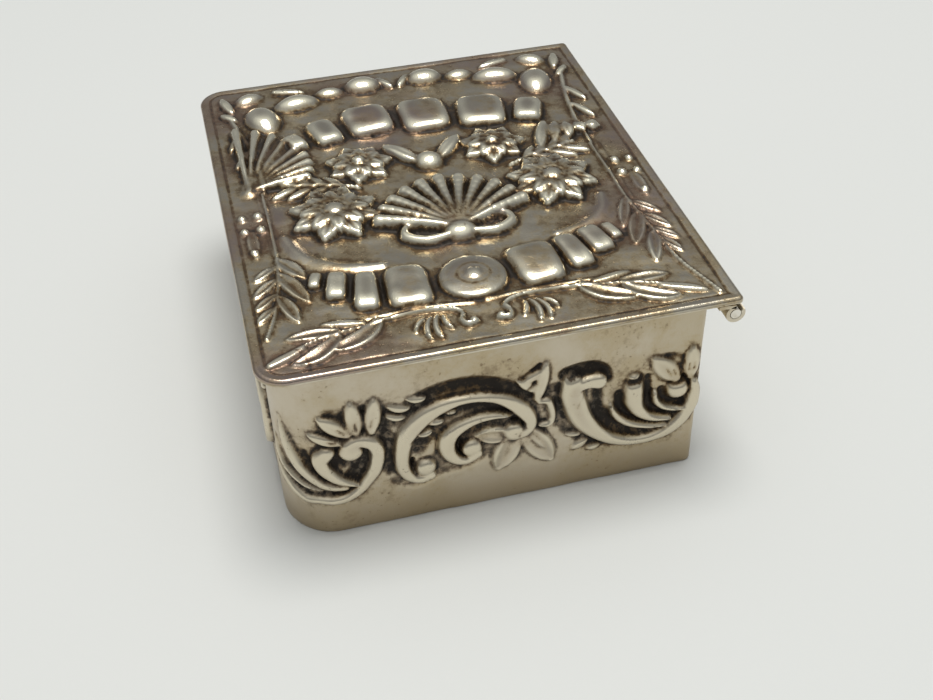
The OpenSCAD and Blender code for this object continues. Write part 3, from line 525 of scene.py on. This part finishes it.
def side_laurels(board):
    """Beads, a long petal and a laurel along each short side."""
    front = [((9.8, -18.2), (11.6, -20.3), 0.8), ((11.8, -18.4), (14, -20.6), 0.9), ((14, -18.7), (16, -20.7), 0.8),
             ((16, -19.1), (18, -20.9), 0.7), ((8.8, -17.7), (12.2, -15.7), 1.4), ((11.2, -17.9), (15.8, -15.9), 1.5),
             ((14.6, -18.3), (18.4, -17.2), 1.3)]
    leafy_stem(board, [(-3, -17.7), (4, -17.7), (9, -17.8), (13, -18.3), (16.6, -19), (20.3, -20.3)], front)
    back = [((8, 17.2), (12.6, 15.4), 1.0), ((10.8, 17.5), (15.6, 15.6), 1.5), ((14.4, 17.7), (18.7, 16.5), 1.2),
            ((8.6, 17.7), (11, 19.8), 0.8), ((11, 18), (13.7, 19.8), 0.9), ((13.6, 18.1), (15.7, 19.9), 0.8),
            ((15.2, 18.2), (17.9, 19.4), 0.8)]
    leafy_stem(board, [(-3, 17.3), (3, 17.4), (8, 17.4), (12, 17.8), (16, 18), (19.5, 18.6), (22, 19.4), (24.8, 20.3)], back)
    for side in (-1, 1):
        def m(x, y):
            return (x, side * y)
        board.leaf(m(3.6, 19.6), m(7.8, 19.6), 1.3, 0.35, rimmed)
        board.bead(m(7, 19.7), 0.45, 0.5)
        for x in (0.9, 3.3):
            board.bead(m(x, 18.6), 0.6, 0.5, stretch=1.2)
            board.bead(m(x, 20.2), 0.5, 0.45, stretch=1.2)
        board.stroke([m(-3, 18.2), m(3, 18.1), m(8, 18)], 0.1, 0.15, halo=0.15)


def rosette(board, at, radius, petals, turn=0.0):
    """A flower in high relief, its petals ribbed, about a beaded boss."""
    at = np.array(at, float)
    for ring, reach, rise in ((0.5, 1.0, 0.24), (0.0, 0.76, 0.34)):
        for n in range(petals):
            bearing = math.radians(turn + 360 * (n + ring) / petals)
            out = np.array([math.cos(bearing), math.sin(bearing)])
            across = np.array([-out[1], out[0]])
            board.leaf(at + 0.15 * radius * out, at + reach * radius * out, 5.4 * radius * reach / petals, rise * radius)
            for rib in (-0.5, 0, 0.5):
                start = at + radius * (0.45 * reach * out + 0.16 * rib * across)
                board.groove([start, start + 0.42 * reach * radius * (out + 0.3 * rib * across)], 0.14, 0.1, 0.45)
    board.bead(at, 0.34 * radius, 0.42 * radius)
    for n in range(7):
        bearing = math.radians(360 / 7 * n)
        board.groove([at + 0.2 * radius * np.array([math.cos(bearing), math.sin(bearing)]),
                      at + 0.28 * radius * np.array([math.cos(bearing), math.sin(bearing)])], 0.16, 0.12, 0.5)


def centre_piece(board):
    """A scallop between rosettes, under sprays of leaves."""
    foot = np.array([8.8, 0.0])
    for n in range(11):
        share = 2 * n / 10 - 1
        bearing = math.radians(180 + 66 * share)
        reach = 8.8 * (1 - 0.1 * abs(share))
        out = np.array([math.cos(bearing), math.sin(bearing)])
        board.stroke([foot, foot + 0.55 * reach * out, foot + reach * out], [0.4, 0.72, 0.98], [0.7, 1.3, 1.1], halo=0.2)
        for k in range(5):
            at = foot + reach * (0.5 + 0.11 * k) * out
            across = 0.6 * np.array([-out[1], out[0]])
            board.groove([at - across, at + 0.18 * out, at + across], 0.17, 0.06, 0.3)
    board.bead((9.2, 0), 1.6, 1.2, stretch=1.3, bearing=90)
    board.bead((-4.4, 0), 1.7, 1.2)
    for side in (-1, 1):
        def m(x, y):
            return (x, side * y)
        board.stroke([m(9.6, 1), m(9.9, 3.4), m(8.8, 5.2), m(7.5, 5), m(7.4, 3.9)], [0.6, 0.7, 0.7, 0.6, 0.4], 0.8, halo=0.25)
        rosette(board, m(2.8, 11.2), 4.3, 8)
        rosette(board, m(-5.6, 7.2), 3.3, 7, 15)
        for n in range(4):
            leaf_foot = (-1.6 - 0.5 * n, 9.6 + 1.5 * n)
            board.leaf(m(*leaf_foot), m(leaf_foot[0] + 1.4, leaf_foot[1] + 2.6), 1.2, 0.6)
            board.leaf(m(*leaf_foot), m(leaf_foot[0] - 2.4, leaf_foot[1] + 1.6), 1.2, 0.6)
        board.stroke([m(-1.2, 8), m(-2.6, 11.6), m(-3.8, 15.6)], 0.3, 0.5, halo=0.2)
        board.leaf(m(-4.6, 1.2), m(-8.2, 4), 2.0, 0.9)


def drawn_lid():
    half_w, half_d = LID_W / 2, LID_D / 2
    board = Board((-half_w, -half_d), (half_w, half_d))
    near_garland(board)
    far_garland(board)
    far_corners(board)
    side_laurels(board)
    near_edge(board)
    centre_piece(board)
    board.height += board.ripple(5, 0.07, 3) + board.ripple(1.6, 0.012, 4)
    board.height = eased(board.height, -0.18, 0.9, LID_RELIEF)
    return board


def edge_distance(x, y):
    """How far a point of the lid lies in from its edge, with the round corners."""
    inner = np.minimum(LID_W / 2 - np.abs(x), LID_D / 2 - np.abs(y))
    for radius, side in ((LID_FRONT_R, -1), (LID_BACK_R, 1)):
        a = np.abs(x) - (LID_W / 2 - radius)
        b = side * y - (LID_D / 2 - radius)
        corner = (a > 0) & (b > 0)
        inner = np.where(corner, radius - np.hypot(a, b), inner)
    return inner


# Height of the lid's border above its field, by the distance in from the edge
BORDER_AT = [0, 0.06, 0.16, 0.3, 0.6, 0.9, 1.05, 1.15, 1.3]
BORDER_HEIGHT = [-0.14, -0.05, 0.04, 0.1, 0.06, 0.03, -0.04, -0.04, 0]


def spaced(stops, steps):
    """Places along a line: from each stop to the next, in even steps no longer than the given one."""
    places = [stops[0]]
    for a, b, step in zip(stops, stops[1:], steps):
        count = max(1, math.ceil((b - a) / step - 1e-6))
        places += [a + (b - a) * (k + 1) / count for k in range(count)]
    return np.array(places)


def active_piece(name):
    piece = bpy.context.object
    piece.name = piece.data.name = name
    return piece


def deselect():
    bpy.ops.object.select_all(action="DESELECT")


def grid_sheet(name, first, second):
    """A grid with a column for each first place and a row for each second, and each vertex's column and row."""
    deselect()
    bpy.ops.mesh.primitive_grid_add(x_subdivisions=len(first) - 1, y_subdivisions=len(second) - 1, size=2)
    piece = active_piece(name)
    co = np.empty(len(piece.data.vertices) * 3)
    piece.data.vertices.foreach_get("co", co)
    co = co.reshape(-1, 3)
    column = np.rint((co[:, 0] + 1) / 2 * (len(first) - 1)).astype(int)
    row = np.rint((co[:, 1] + 1) / 2 * (len(second) - 1)).astype(int)
    return piece, column, row


def set_points(piece, co):
    piece.data.vertices.foreach_set("co", np.asarray(co, np.float32).ravel())
    piece.data.update()


def get_points(piece):
    co = np.empty(len(piece.data.vertices) * 3)
    piece.data.vertices.foreach_get("co", co)
    return co.reshape(-1, 3)


def tell(piece, name, values):
    """Writes one number for each vertex, for the finish to read."""
    attribute = piece.data.attributes.get(name) or piece.data.attributes.new(name, "FLOAT", "POINT")
    attribute.data.foreach_set("value", np.asarray(values, np.float32))


def hollows_and_ridges(board, height):
    wide = board.blurred(height, 0.7)
    fine = board.blurred(height, 0.22)
    hollow = ((wide - height) / 0.35).clip(0, 1) * 0.75 + ((fine - height) / 0.1).clip(0, 1) * 0.5
    ridge = ((height - wide) / 0.3).clip(0, 1)
    dirt = np.maximum(board.blurred(board.dirt, 0.1), 0.45 * board.blurred(board.dirt, 0.9))
    return np.maximum(hollow, dirt).clip(0, 1), ridge


def pressed_lid():
    """The embossed lid skin. Its relief is hand-chased work with no even surface, so its heights are drawn on a
    board and laid on a fine grid."""
    board = drawn_lid()
    grid = np.meshgrid(*board.axes, indexing="ij")
    inner = edge_distance(*grid)
    height = board.blurred(board.height, 0.07) * ((inner - 0.9) / 0.4).clip(0, 1)
    hollow, ridge = hollows_and_ridges(board, height)
    hollow = np.maximum(hollow * ((inner - 0.8) / 0.3).clip(0, 1), 0.75 * np.exp(-(((inner - 1.1) / 0.12) ** 2)))
    half_w, half_d = LID_W / 2, LID_D / 2
    edge = [0, 0.06, 0.16, 0.3]
    x = spaced([-half_w + 0.3, 11, half_w - 0.3], [0.19, 0.135])
    y = spaced([-half_d + 0.3, half_d - 0.3], [0.146])
    x = np.concatenate([-half_w + np.array(edge[:-1]), x, half_w - np.array(edge[-2::-1])])
    y = np.concatenate([-half_d + np.array(edge[:-1]), y, half_d - np.array(edge[-2::-1])])
    piece, column, row = grid_sheet("pressed_lid", x, y)
    px, py = x[column], y[row]
    for radius, side in ((LID_FRONT_R, -1), (LID_BACK_R, 1)):
        a = (np.abs(px) - (half_w - radius)).clip(0, None)
        b = (side * py - (half_d - radius)).clip(0, None)
        shrink = np.where((a > 0) & (b > 0), np.maximum(a, b) / np.maximum(np.hypot(a, b), 1e-9), 1)
        in_corner = (a > 0) & (b > 0)
        px = np.where(in_corner, np.sign(px) * (half_w - radius + a * shrink), px)
        py = np.where(in_corner, side * (half_d - radius + b * shrink), py)
    flat = np.stack([px, py], -1)
    z = LID_SEAT + LID_SKIN + board.sampled(height, flat)
    z += np.interp(edge_distance(px, py), BORDER_AT, BORDER_HEIGHT)
    set_points(piece, np.stack([px, py + LID_Y, z], -1) * MM)
    for name, field in (("hollow", hollow), ("ridge", ridge)):
        tell(piece, name, board.sampled(field, flat))
    # The edge is turned down to the plate, and the sheet closed under it
    bpy.ops.object.mode_set(mode="EDIT")
    bpy.ops.mesh.select_mode(type="EDGE")
    bpy.ops.mesh.select_all(action="DESELECT")
    bpy.ops.mesh.select_non_manifold()
    bpy.ops.mesh.extrude_region_move()
    bpy.ops.transform.resize(value=(1, 1, 0))
    bpy.ops.mesh.edge_face_add()
    bpy.ops.object.mode_set(mode="OBJECT")
    co = get_points(piece)
    co[len(column):, 2] = LID_SEAT * MM
    set_points(piece, co)
    finish_sheet(piece)
    return piece


def finish_sheet(piece):
    bpy.ops.object.mode_set(mode="EDIT")
    bpy.ops.mesh.select_all(action="SELECT")
    bpy.ops.mesh.normals_make_consistent(inside=False)
    bpy.ops.object.mode_set(mode="OBJECT")
    bpy.ops.object.shade_smooth_by_angle(angle=math.radians(50), keep_sharp_edges=False)


def strip_point(along, up, out):
    """Points of the wall, by the way along the strip from the middle of the front, the height, and the step out."""
    side = np.sign(along)
    a = np.abs(along)
    x_corner, y_corner = BODY_W / 2 - FRONT_R, BODY_FRONT + FRONT_R
    turn = ((a - FRONT_FLAT) / FRONT_R).clip(0, math.pi / 2)
    x = np.where(a < FRONT_FLAT, a, x_corner + (FRONT_R + out) * np.sin(turn))
    y = np.where(a < FRONT_FLAT, BODY_FRONT - out, y_corner - (FRONT_R + out) * np.cos(turn))
    y = np.where(a > FRONT_FLAT + CORNER_RUN, BODY_FRONT + a - SIDE_START, y)
    turn = ((a - SIDE_FLAT_END) / BACK_R).clip(0, math.pi / 2)
    reach = np.maximum(BACK_R + out, 0.15)
    on_back_corner = a > SIDE_FLAT_END
    x = np.where(on_back_corner, BODY_W / 2 - BACK_R + reach * np.cos(turn), x)
    y = np.where(on_back_corner, BACK_Y - BACK_R + reach * np.sin(turn), y)
    on_back = a > SIDE_FLAT_END + BACK_CORNER_RUN
    x = np.where(on_back, BODY_W / 2 - BACK_R - (a - SIDE_FLAT_END - BACK_CORNER_RUN), x)
    y = np.where(on_back, BACK_Y + out, y)
    return np.stack([side * x, y, up], -1)


def pressed_wall():
    """The embossed strip of the front and the sides, laid on a fine grid in the same way as the lid."""
    board = drawn_wall()
    height = board.blurred(board.height, 0.07)
    hollow, ridge = hollows_and_ridges(board, height)
    half = spaced([0, FRONT_FLAT, SIDE_FLAT_END, SIDE_FLAT_END + BACK_CORNER_RUN, STRIP_END], [0.19, 0.142, 0.16, 0.6])
    along = np.concatenate([-half[:0:-1], half])
    up = np.concatenate([[0, 0.08, 0.2], spaced([0.8, 3.6, 16.7, 18.9], [0.7, 0.142, 0.75]), [19.3, 19.43, WALL_H]])
    piece, column, row = grid_sheet("pressed_wall", along, up)
    flat = np.stack([np.abs(along[column]), up[row]], -1)
    out = board.sampled(height, flat)
    out -= np.interp(np.minimum(up[row], WALL_H - up[row]), [0, 0.08, 0.2], [0.12, 0.04, 0])
    set_points(piece, strip_point(along[column], up[row], out) * MM)
    for name, field in (("hollow", hollow), ("ridge", ridge)):
        tell(piece, name, board.sampled(field, flat))
    # The rim is turned in to the sheet's inner face, and the inner face is bridged from top to bottom
    bpy.ops.object.mode_set(mode="EDIT")
    bpy.ops.mesh.select_mode(type="VERT")
    bpy.ops.mesh.select_all(action="DESELECT")
    bpy.ops.mesh.select_non_manifold()
    bpy.ops.mesh.extrude_region_move()
    mesh = bmesh.from_edit_mesh(piece.data)
    mesh.verts.ensure_lookup_table()
    rim = [v for v in mesh.verts if v.select]
    rim_of = {}
    for v in rim:
        for e in v.link_edges:
            other = e.other_vert(v)
            if not other.select:
                rim_of[v] = other.index
    for v in rim:
        n = rim_of[v]
        v.co = Vector(strip_point(along[column[n]], up[row[n]], -WALL_T)) * MM
    last = len(along) - 1
    ends = [v for v in rim if column[rim_of[v]] in (0, last) and 0 < row[rim_of[v]] < len(up) - 1]
    for v in mesh.verts:
        v.select = False
    for v in ends:
        v.select = True
    mesh.select_flush_mode()
    kept = [(column[rim_of[v]], row[rim_of[v]]) for v in rim if v not in set(ends)]
    bmesh.update_edit_mesh(piece.data)
    bpy.ops.mesh.dissolve_verts()
    bpy.ops.mesh.select_all(action="DESELECT")
    bpy.ops.mesh.select_mode(type="EDGE")
    bpy.ops.mesh.select_non_manifold()
    mesh = bmesh.from_edit_mesh(piece.data)
    for e in mesh.edges:
        if e.select and abs(e.verts[0].co.z - e.verts[1].co.z) > 5 * MM:
            e.select = False
    bmesh.update_edit_mesh(piece.data)
    bpy.ops.mesh.bridge_edge_loops()
    bpy.ops.object.mode_set(mode="OBJECT")
    finish_sheet(piece)
    return piece


class Value:
    """A number that a shader works out, written with Python's own operators."""

    def __init__(self, finish, socket):
        self.finish, self.socket = finish, socket

    def _with(self, operation, *others):
        return self.finish.node("ShaderNodeMath", {"operation": operation}, dict(enumerate((self, *others))))

    def __add__(self, other):
        return self._with("ADD", other)

    def __sub__(self, other):
        return self._with("SUBTRACT", other)

    def __rsub__(self, other):
        return self.finish.node("ShaderNodeMath", {"operation": "SUBTRACT"}, {0: other, 1: self})

    def __mul__(self, other):
        return self._with("MULTIPLY", other)

    def __pow__(self, other):
        return self._with("POWER", other)

    __radd__, __rmul__ = __add__, __mul__

    def held(self):
        """Kept from 0 to 1."""
        return self.finish.node("ShaderNodeClamp", {}, {0: self})

    def over(self, low, high):
        """0 below low, 1 above high, and smooth between."""
        return self.finish.node("ShaderNodeMapRange", {"interpolation_type": "SMOOTHSTEP"},
                                {"Value": self, "From Min": low, "From Max": high})


class Nodes:
    """A tree of shader nodes, and the one way in which its nodes are made."""

    def __init__(self, tree):
        self.tree = tree

    def node(self, kind, settings, inputs, output=0):
        made = self.tree.nodes.new(kind)
        for name, value in settings.items():
            if name == "stops":
                for n, (place, colour) in enumerate(value):
                    stop = made.color_ramp.elements[n] if n < 2 else made.color_ramp.elements.new(place)
                    stop.position, stop.color = place, (*colour, 1)
            else:
                setattr(made, name, value)
        for name, value in inputs.items():
            if isinstance(value, Value):
                self.tree.links.new(value.socket, made.inputs[name])
            else:
                made.inputs[name].default_value = value
        return Value(self, made.outputs[output])

    def ramp(self, share, *stops):
        return self.node("ShaderNodeValToRGB", {"stops": stops}, {0: share})


class Finish(Nodes):
    """A material of this object."""

    def __init__(self, name, **constants):
        self.material = bpy.data.materials.new(name)
        self.material.use_nodes = True
        super().__init__(self.material.node_tree)
        self.shader = self.tree.nodes["Principled BSDF"]
        self.object = self.node("ShaderNodeTexCoord", {}, {}, "Object")
        for socket, value in constants.items():
            self.shader.inputs[socket.replace("_", " ").title()].default_value = value

    def noise(self, scale, detail=3.0, roughness=0.55, stretch=(1, 1, 1)):
        """Cloudy noise, with its scale in waves to the millimetre."""
        place = self.node("ShaderNodeMapping", {}, {"Vector": self.object, "Scale": stretch})
        return self.node("ShaderNodeTexNoise", {}, {"Vector": place, "Scale": scale / MM, "Detail": detail,
                                                    "Roughness": roughness})

    def told(self, name):
        return self.node("ShaderNodeAttribute", {"attribute_name": name}, {}, "Fac")

    def blend(self, share, first, second):
        """From the first colour to the second, each a colour or a link."""
        inputs = {0: share}
        for n, colour in ((6, first), (7, second)):
            inputs[n] = colour if isinstance(colour, Value) else (*colour, 1)
        return self.node("ShaderNodeMix", {"data_type": "RGBA"}, inputs, 2)

    def bump(self, height, depth, under=None):
        """Small relief of the given depth in millimetres."""
        inputs = {"Height": height, "Strength": 1.0, "Distance": depth * MM}
        if under:
            inputs["Normal"] = under
        return self.node("ShaderNodeBump", {}, inputs)

    def feed(self, **links):
        for name, value in links.items():
            self.tree.links.new(value.socket, self.shader.inputs[name.replace("_", " ").title()])
        return self.material


# Colours as linear light, from the cleanest metal to the blackest tarnish
CLEAN = (0.74, 0.68, 0.56)
WARM = (0.50, 0.41, 0.27)
BROWN = (0.16, 0.105, 0.055)
BLACK = (0.022, 0.016, 0.011)


def stamped_silver(name, body_colour, rubbed, haze, low_brown_and_shade, satin, contrast):
    """Pressed sheet: rubbed ridges, dull flats with a haze of tarnish, dark hollows, and a darker, browner foot that is
    partly painted shade.
    """
    f = Finish(name, metallic=1.0)
    cloud = f.noise(0.22, 5, 0.7)
    patch = f.noise(0.07, 4, 0.6)
    speck = f.noise(1.3, 4, 0.7)
    grain = f.noise(5.5, 2, 0.5)
    pits = f.noise(2.6, 3, 0.6).over(0.62, 0.70) * cloud.over(0.48, 0.62)
    height = f.node("ShaderNodeSeparateXYZ", {}, {0: f.object}, 2)
    hollow, ridge = f.told("hollow"), f.told("ridge")
    mottle = cloud.over(0.38, 0.64) * contrast + speck.over(0.4, 0.66) * 0.12
    dark = (hollow * (0.72 + speck.over(0.36, 0.62) * 0.4) + mottle - 0.08 - ridge * 0.35).held()
    colour = f.ramp(dark, (0.0, body_colour), (0.22, WARM), (0.5, BROWN), (0.85, BLACK))
    colour = f.blend(patch.over(0.45, 0.62) * 0.55 * (1 - dark), colour, haze)
    # Up to 5.5 mm above the table the colour turns darker and browner: partly the metal's own browner tone low on the
    # wall, partly painted shade where the wall meets the table.
    colour = f.blend((1 - height.over(0, 5.5 * MM)) * 0.75 * (1 - dark), colour, low_brown_and_shade)
    colour = f.blend(ridge.over(0.15, 0.8) * (1 - dark.over(0.25, 0.6)) * 0.9, colour, rubbed)
    colour = f.blend(pits * 0.6, colour, BROWN)
    rough = (satin + (cloud - 0.5) * 0.2 + dark.over(0.25, 0.8) * 0.25 - ridge * 0.05 + (grain - 0.5) * 0.14).held()
    metal = 1 - dark.over(0.45, 0.95) * 0.5
    relief = f.bump(speck * 0.6 + grain * 0.4 - pits * 0.6, 0.03)
    scratches = f.noise(0.9, 4, 0.65, (1, 9, 1))
    relief = f.bump(scratches, 0.012, relief)
    return f.feed(base_color=colour, roughness=rough, metallic=metal, normal=relief)


def plain_silver(name, stretch):
    """Rolled sheet with fine scratches along one way, dulled in patches."""
    f = Finish(name, metallic=1.0)
    cloud = f.noise(0.12, 4, 0.6)
    brushed = f.noise(1.4, 4, 0.65, stretch)
    speck = f.noise(1.8, 3, 0.6)
    dark = (cloud.over(0.45, 0.75) * 0.55 + speck.over(0.56, 0.75) * 0.35).held()
    colour = f.ramp(dark, (0.0, CLEAN), (0.45, WARM), (1.0, BROWN))
    rough = (0.28 + cloud * 0.2 + (brushed - 0.5) * 0.2).held()
    relief = f.bump(brushed * 0.7 + speck * 0.3, 0.012)
    return f.feed(base_color=colour, roughness=rough, normal=relief)


def rubbed_wire():
    f = Finish("rubbed_wire", metallic=1.0)
    cloud = f.noise(0.6, 3)
    colour = f.ramp(cloud.over(0.4, 0.8), (0.0, (0.84, 0.8, 0.72)), (1.0, WARM))
    rough = (0.22 + cloud * 0.2).held()
    return f.feed(base_color=colour, roughness=rough, normal=f.bump(f.noise(3, 3), 0.01))


def worn_gilt(name, stretch):
    """Gilding, warm and satin, worn through to the silver in patches, with a few darker stains."""
    f = Finish(name, metallic=1.0)
    cloud = f.noise(0.14, 4, 0.6)
    speck = f.noise(2.2, 3, 0.6)
    brushed = f.noise(1.5, 4, 0.65, stretch)
    stain = (cloud.over(0.5, 0.8) * 0.7 + speck.over(0.6, 0.78) * 0.5).held()
    colour = f.ramp(stain, (0.0, (0.90, 0.68, 0.30)), (0.5, (0.72, 0.47, 0.17)), (1.0, (0.30, 0.17, 0.06)))
    colour = f.blend(f.noise(0.3, 4).over(0.6, 0.72) * 0.4, colour, CLEAN)
    rough = (0.24 + cloud * 0.2 + (brushed - 0.5) * 0.16).held()
    return f.feed(base_color=colour, roughness=rough, normal=f.bump(brushed * 0.6 + speck * 0.4, 0.012))


def round_edges(piece, width, segments):
    bevel = piece.modifiers.new("edges", "BEVEL")
    bevel.width, bevel.segments, bevel.limit_method = width * MM, segments, "ANGLE"
    bevel.angle_limit = math.radians(50)
    bpy.ops.object.modifier_apply(modifier=bevel.name)
    bpy.ops.object.shade_smooth_by_angle(angle=math.radians(40), keep_sharp_edges=False)


def softened(node, name, width, segments=3):
    """A copy of a CAD node with its edges rounded, which stands for it."""
    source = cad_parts[node]
    piece = bpy.data.objects.new(name, source.data.copy())
    bpy.context.scene.collection.objects.link(piece)
    deselect()
    piece.select_set(True)
    bpy.context.view_layer.objects.active = piece
    piece.data.materials.clear()
    bpy.ops.object.mode_set(mode="EDIT")
    bpy.ops.mesh.select_all(action="SELECT")
    bpy.ops.mesh.remove_doubles(threshold=0.002 * MM)
    bpy.ops.mesh.dissolve_limited(angle_limit=math.radians(1))
    bpy.ops.object.mode_set(mode="OBJECT")
    round_edges(piece, width, segments)
    return piece


def rolled_knuckles():
    """The lid's hinge leaf: strips lapped under the lid, each rolled round the pin."""
    low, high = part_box("lid_hinge_leaf")
    inner = PIN_R + PIN_CLEARANCE
    strip_t = high.y / MM - HINGE_Y - inner
    middle_r = inner + strip_t / 2
    lap_y, lap_z = low.y / MM, high.z / MM - strip_t / 2
    bend_y, top_z = HINGE_Y - 0.9, HINGE_Z + middle_r
    made = []
    for n in (0, 2, 4):
        start = -LID_W / 2 + n * (KNUCKLE_LEN + KNUCKLE_GAP)
        deselect()
        bpy.ops.mesh.primitive_plane_add(size=1)
        piece = active_piece("rolled_knuckle")
        co = get_points(piece)
        x = np.where(co[:, 0] < 0, start, start + KNUCKLE_LEN)
        z = lap_z + np.where(co[:, 1] < 0, -0.5, 0.5) * strip_t
        set_points(piece, np.stack([x, np.full(4, lap_y), z], -1) * MM)
        bpy.ops.object.mode_set(mode="EDIT")
        bpy.ops.mesh.select_mode(type="FACE")
        bpy.ops.mesh.select_all(action="SELECT")
        for step in ((0, bend_y - lap_y, 0), (0, HINGE_Y - bend_y, top_z - lap_z)):
            bpy.ops.mesh.extrude_region_move(TRANSFORM_OT_translate={"value": Vector(step) * MM})
        bpy.ops.mesh.spin(steps=ROLL_STEPS, angle=math.radians(-ROLL), axis=(1, 0, 0),
                          center=(0, HINGE_Y * MM, HINGE_Z * MM))
        bpy.ops.mesh.select_all(action="SELECT")
        bpy.ops.mesh.remove_doubles(threshold=0.002 * MM)
        bpy.ops.mesh.normals_make_consistent(inside=False)
        bpy.ops.object.mode_set(mode="OBJECT")
        made.append(piece)
    deselect()
    for piece in made:
        piece.select_set(True)
    bpy.context.view_layer.objects.active = made[0]
    bpy.ops.object.join()
    piece = active_piece("rolled_lid_leaf")
    round_edges(piece, 0.05, 2)
    return piece


ROLL, ROLL_STEPS = 300, 30
PIN_CLEARANCE = 0.05
KNUCKLE_GAP = 0.2
KNUCKLE_LEN = (LID_W - 4 * KNUCKLE_GAP) / 5


def stand(piece, body, material, slot, *nodes):
    """Gives a piece its body, its finish and the nodes it stands for; its slot is not used."""
    piece.data.materials.clear()
    piece.data.materials.append(material)
    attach(piece, body)
    if nodes:
        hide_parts(*nodes)


lid_silver = stamped_silver("lid_silver", (0.50, 0.455, 0.37), (0.95, 0.90, 0.72), (0.32, 0.215, 0.20), WARM, 0.22, 0.34)
# The wall's last colour is its browner tone near the bottom, which also stands for painted shade where it meets the
# table.
wall_silver = stamped_silver("wall_silver", (0.53, 0.455, 0.33), (0.70, 0.63, 0.485), (0.64, 0.575, 0.475),
                             (0.39, 0.30, 0.185), 0.36, 0.26)
sheet_silver = plain_silver("sheet_silver", (1, 1, 8))
flat_silver = plain_silver("flat_silver", (1, 9, 1))
wire = rubbed_wire()
well_gilt = worn_gilt("well_gilt", (8, 1, 1))
band_gilt = worn_gilt("band_gilt", (1, 1, 8))

stand(pressed_lid(), "lid", lid_silver, "embossed_silver", "lid_skin")
stand(pressed_wall(), "box", wall_silver, "embossed_silver", "wall_band")
stand(softened("lid_plate", "lid_under_plate", 0.09), "lid", flat_silver, "plain_silver", "lid_plate")
stand(softened("base_plate", "bottom_plate", 0.1), "box", flat_silver, "plain_silver", "base_plate")
stand(softened("back_wall", "back_plate", 0.06), "box", sheet_silver, "plain_silver", "back_wall")
stand(softened("lid_bezel", "lid_locating_rim", 0.1), "lid", band_gilt, "gilt", "lid_bezel")
stand(softened("insert_band", "gilt_lining", 0.15), "box", band_gilt, "gilt", "insert_band")
stand(softened("divider", "gilt_divider", 0.3, 4), "box", band_gilt, "gilt", "divider")
stand(rolled_knuckles(), "lid", sheet_silver, "plain_silver", "lid_hinge_leaf")
for node, material in {
    "stamp_well_left": well_gilt, "stamp_well_right": well_gilt,
    "body_hinge_leaf": sheet_silver, "hinge_pin": wire,
}.items():
    cad_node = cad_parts[node]
    cad_node.data.materials.clear()
    cad_node.data.materials.append(material)


# The table it stands on, the lamps and the camera

TABLE_SIZE = 4.0
deselect()
bpy.ops.mesh.primitive_plane_add(size=TABLE_SIZE, location=(0, 0, 0))
table = active_piece("table")
paper = Finish("table_paper", roughness=0.6)
paper.feed(
    base_color=paper.blend(paper.noise(0.004, 3), (0.74, 0.76, 0.75), (0.78, 0.79, 0.775)),
    normal=paper.bump(paper.noise(1.2, 3), 0.01),
)
table.data.materials.append(paper.material)


def soft_lamp(name, place, aim, width, watts, colour=(1, 1, 1)):
    lamp = bpy.data.lights.new(name, "AREA")
    lamp.shape, lamp.size, lamp.energy, lamp.color = "DISK", width, watts, colour
    stand_in = bpy.data.objects.new(name, lamp)
    stand_in.location = place
    stand_in.rotation_euler = (Vector(aim) - Vector(place)).to_track_quat("-Z", "Y").to_euler()
    bpy.context.scene.collection.objects.link(stand_in)


soft_lamp("ceiling_lamp", (-0.05, 0.04, 0.6), (0, 0, 0), 0.3, 1.9, (1, 0.98, 0.94))

world = bpy.data.worlds.new("studio")
world.use_nodes = True
sky = Nodes(world.node_tree)
way = sky.node("ShaderNodeTexCoord", {}, {}, "Generated")
height = sky.node("ShaderNodeSeparateXYZ", {}, {0: way}, 2)
glow = sky.ramp(height, (0.0, (0.26, 0.265, 0.27)), (0.55, (0.30, 0.305, 0.31)), (0.8, (0.62, 0.63, 0.62)), (1.0, (0.85, 0.86, 0.84)))
world.node_tree.links.new(glow.socket, world.node_tree.nodes["Background"].inputs["Color"])
bpy.context.scene.world = world
bpy.context.scene.view_settings.view_transform = "Standard"

camera_data = bpy.data.cameras.new("camera")
camera_data.lens, camera_data.sensor_width = 48.84, 36
camera_data.clip_start, camera_data.clip_end = 0.01, 10
camera = bpy.data.objects.new("camera", camera_data)
right = Vector((0.24986, 0.96799, -0.02377))
up = Vector((-0.61761, 0.17823, 0.76602))
turned = Matrix((right, up, right.cross(up))).transposed().to_4x4()
camera.matrix_world = Matrix.Translation((0.107578, -0.023224, 0.090019)) @ turned
bpy.context.scene.collection.objects.link(camera)
bpy.context.scene.camera = camera
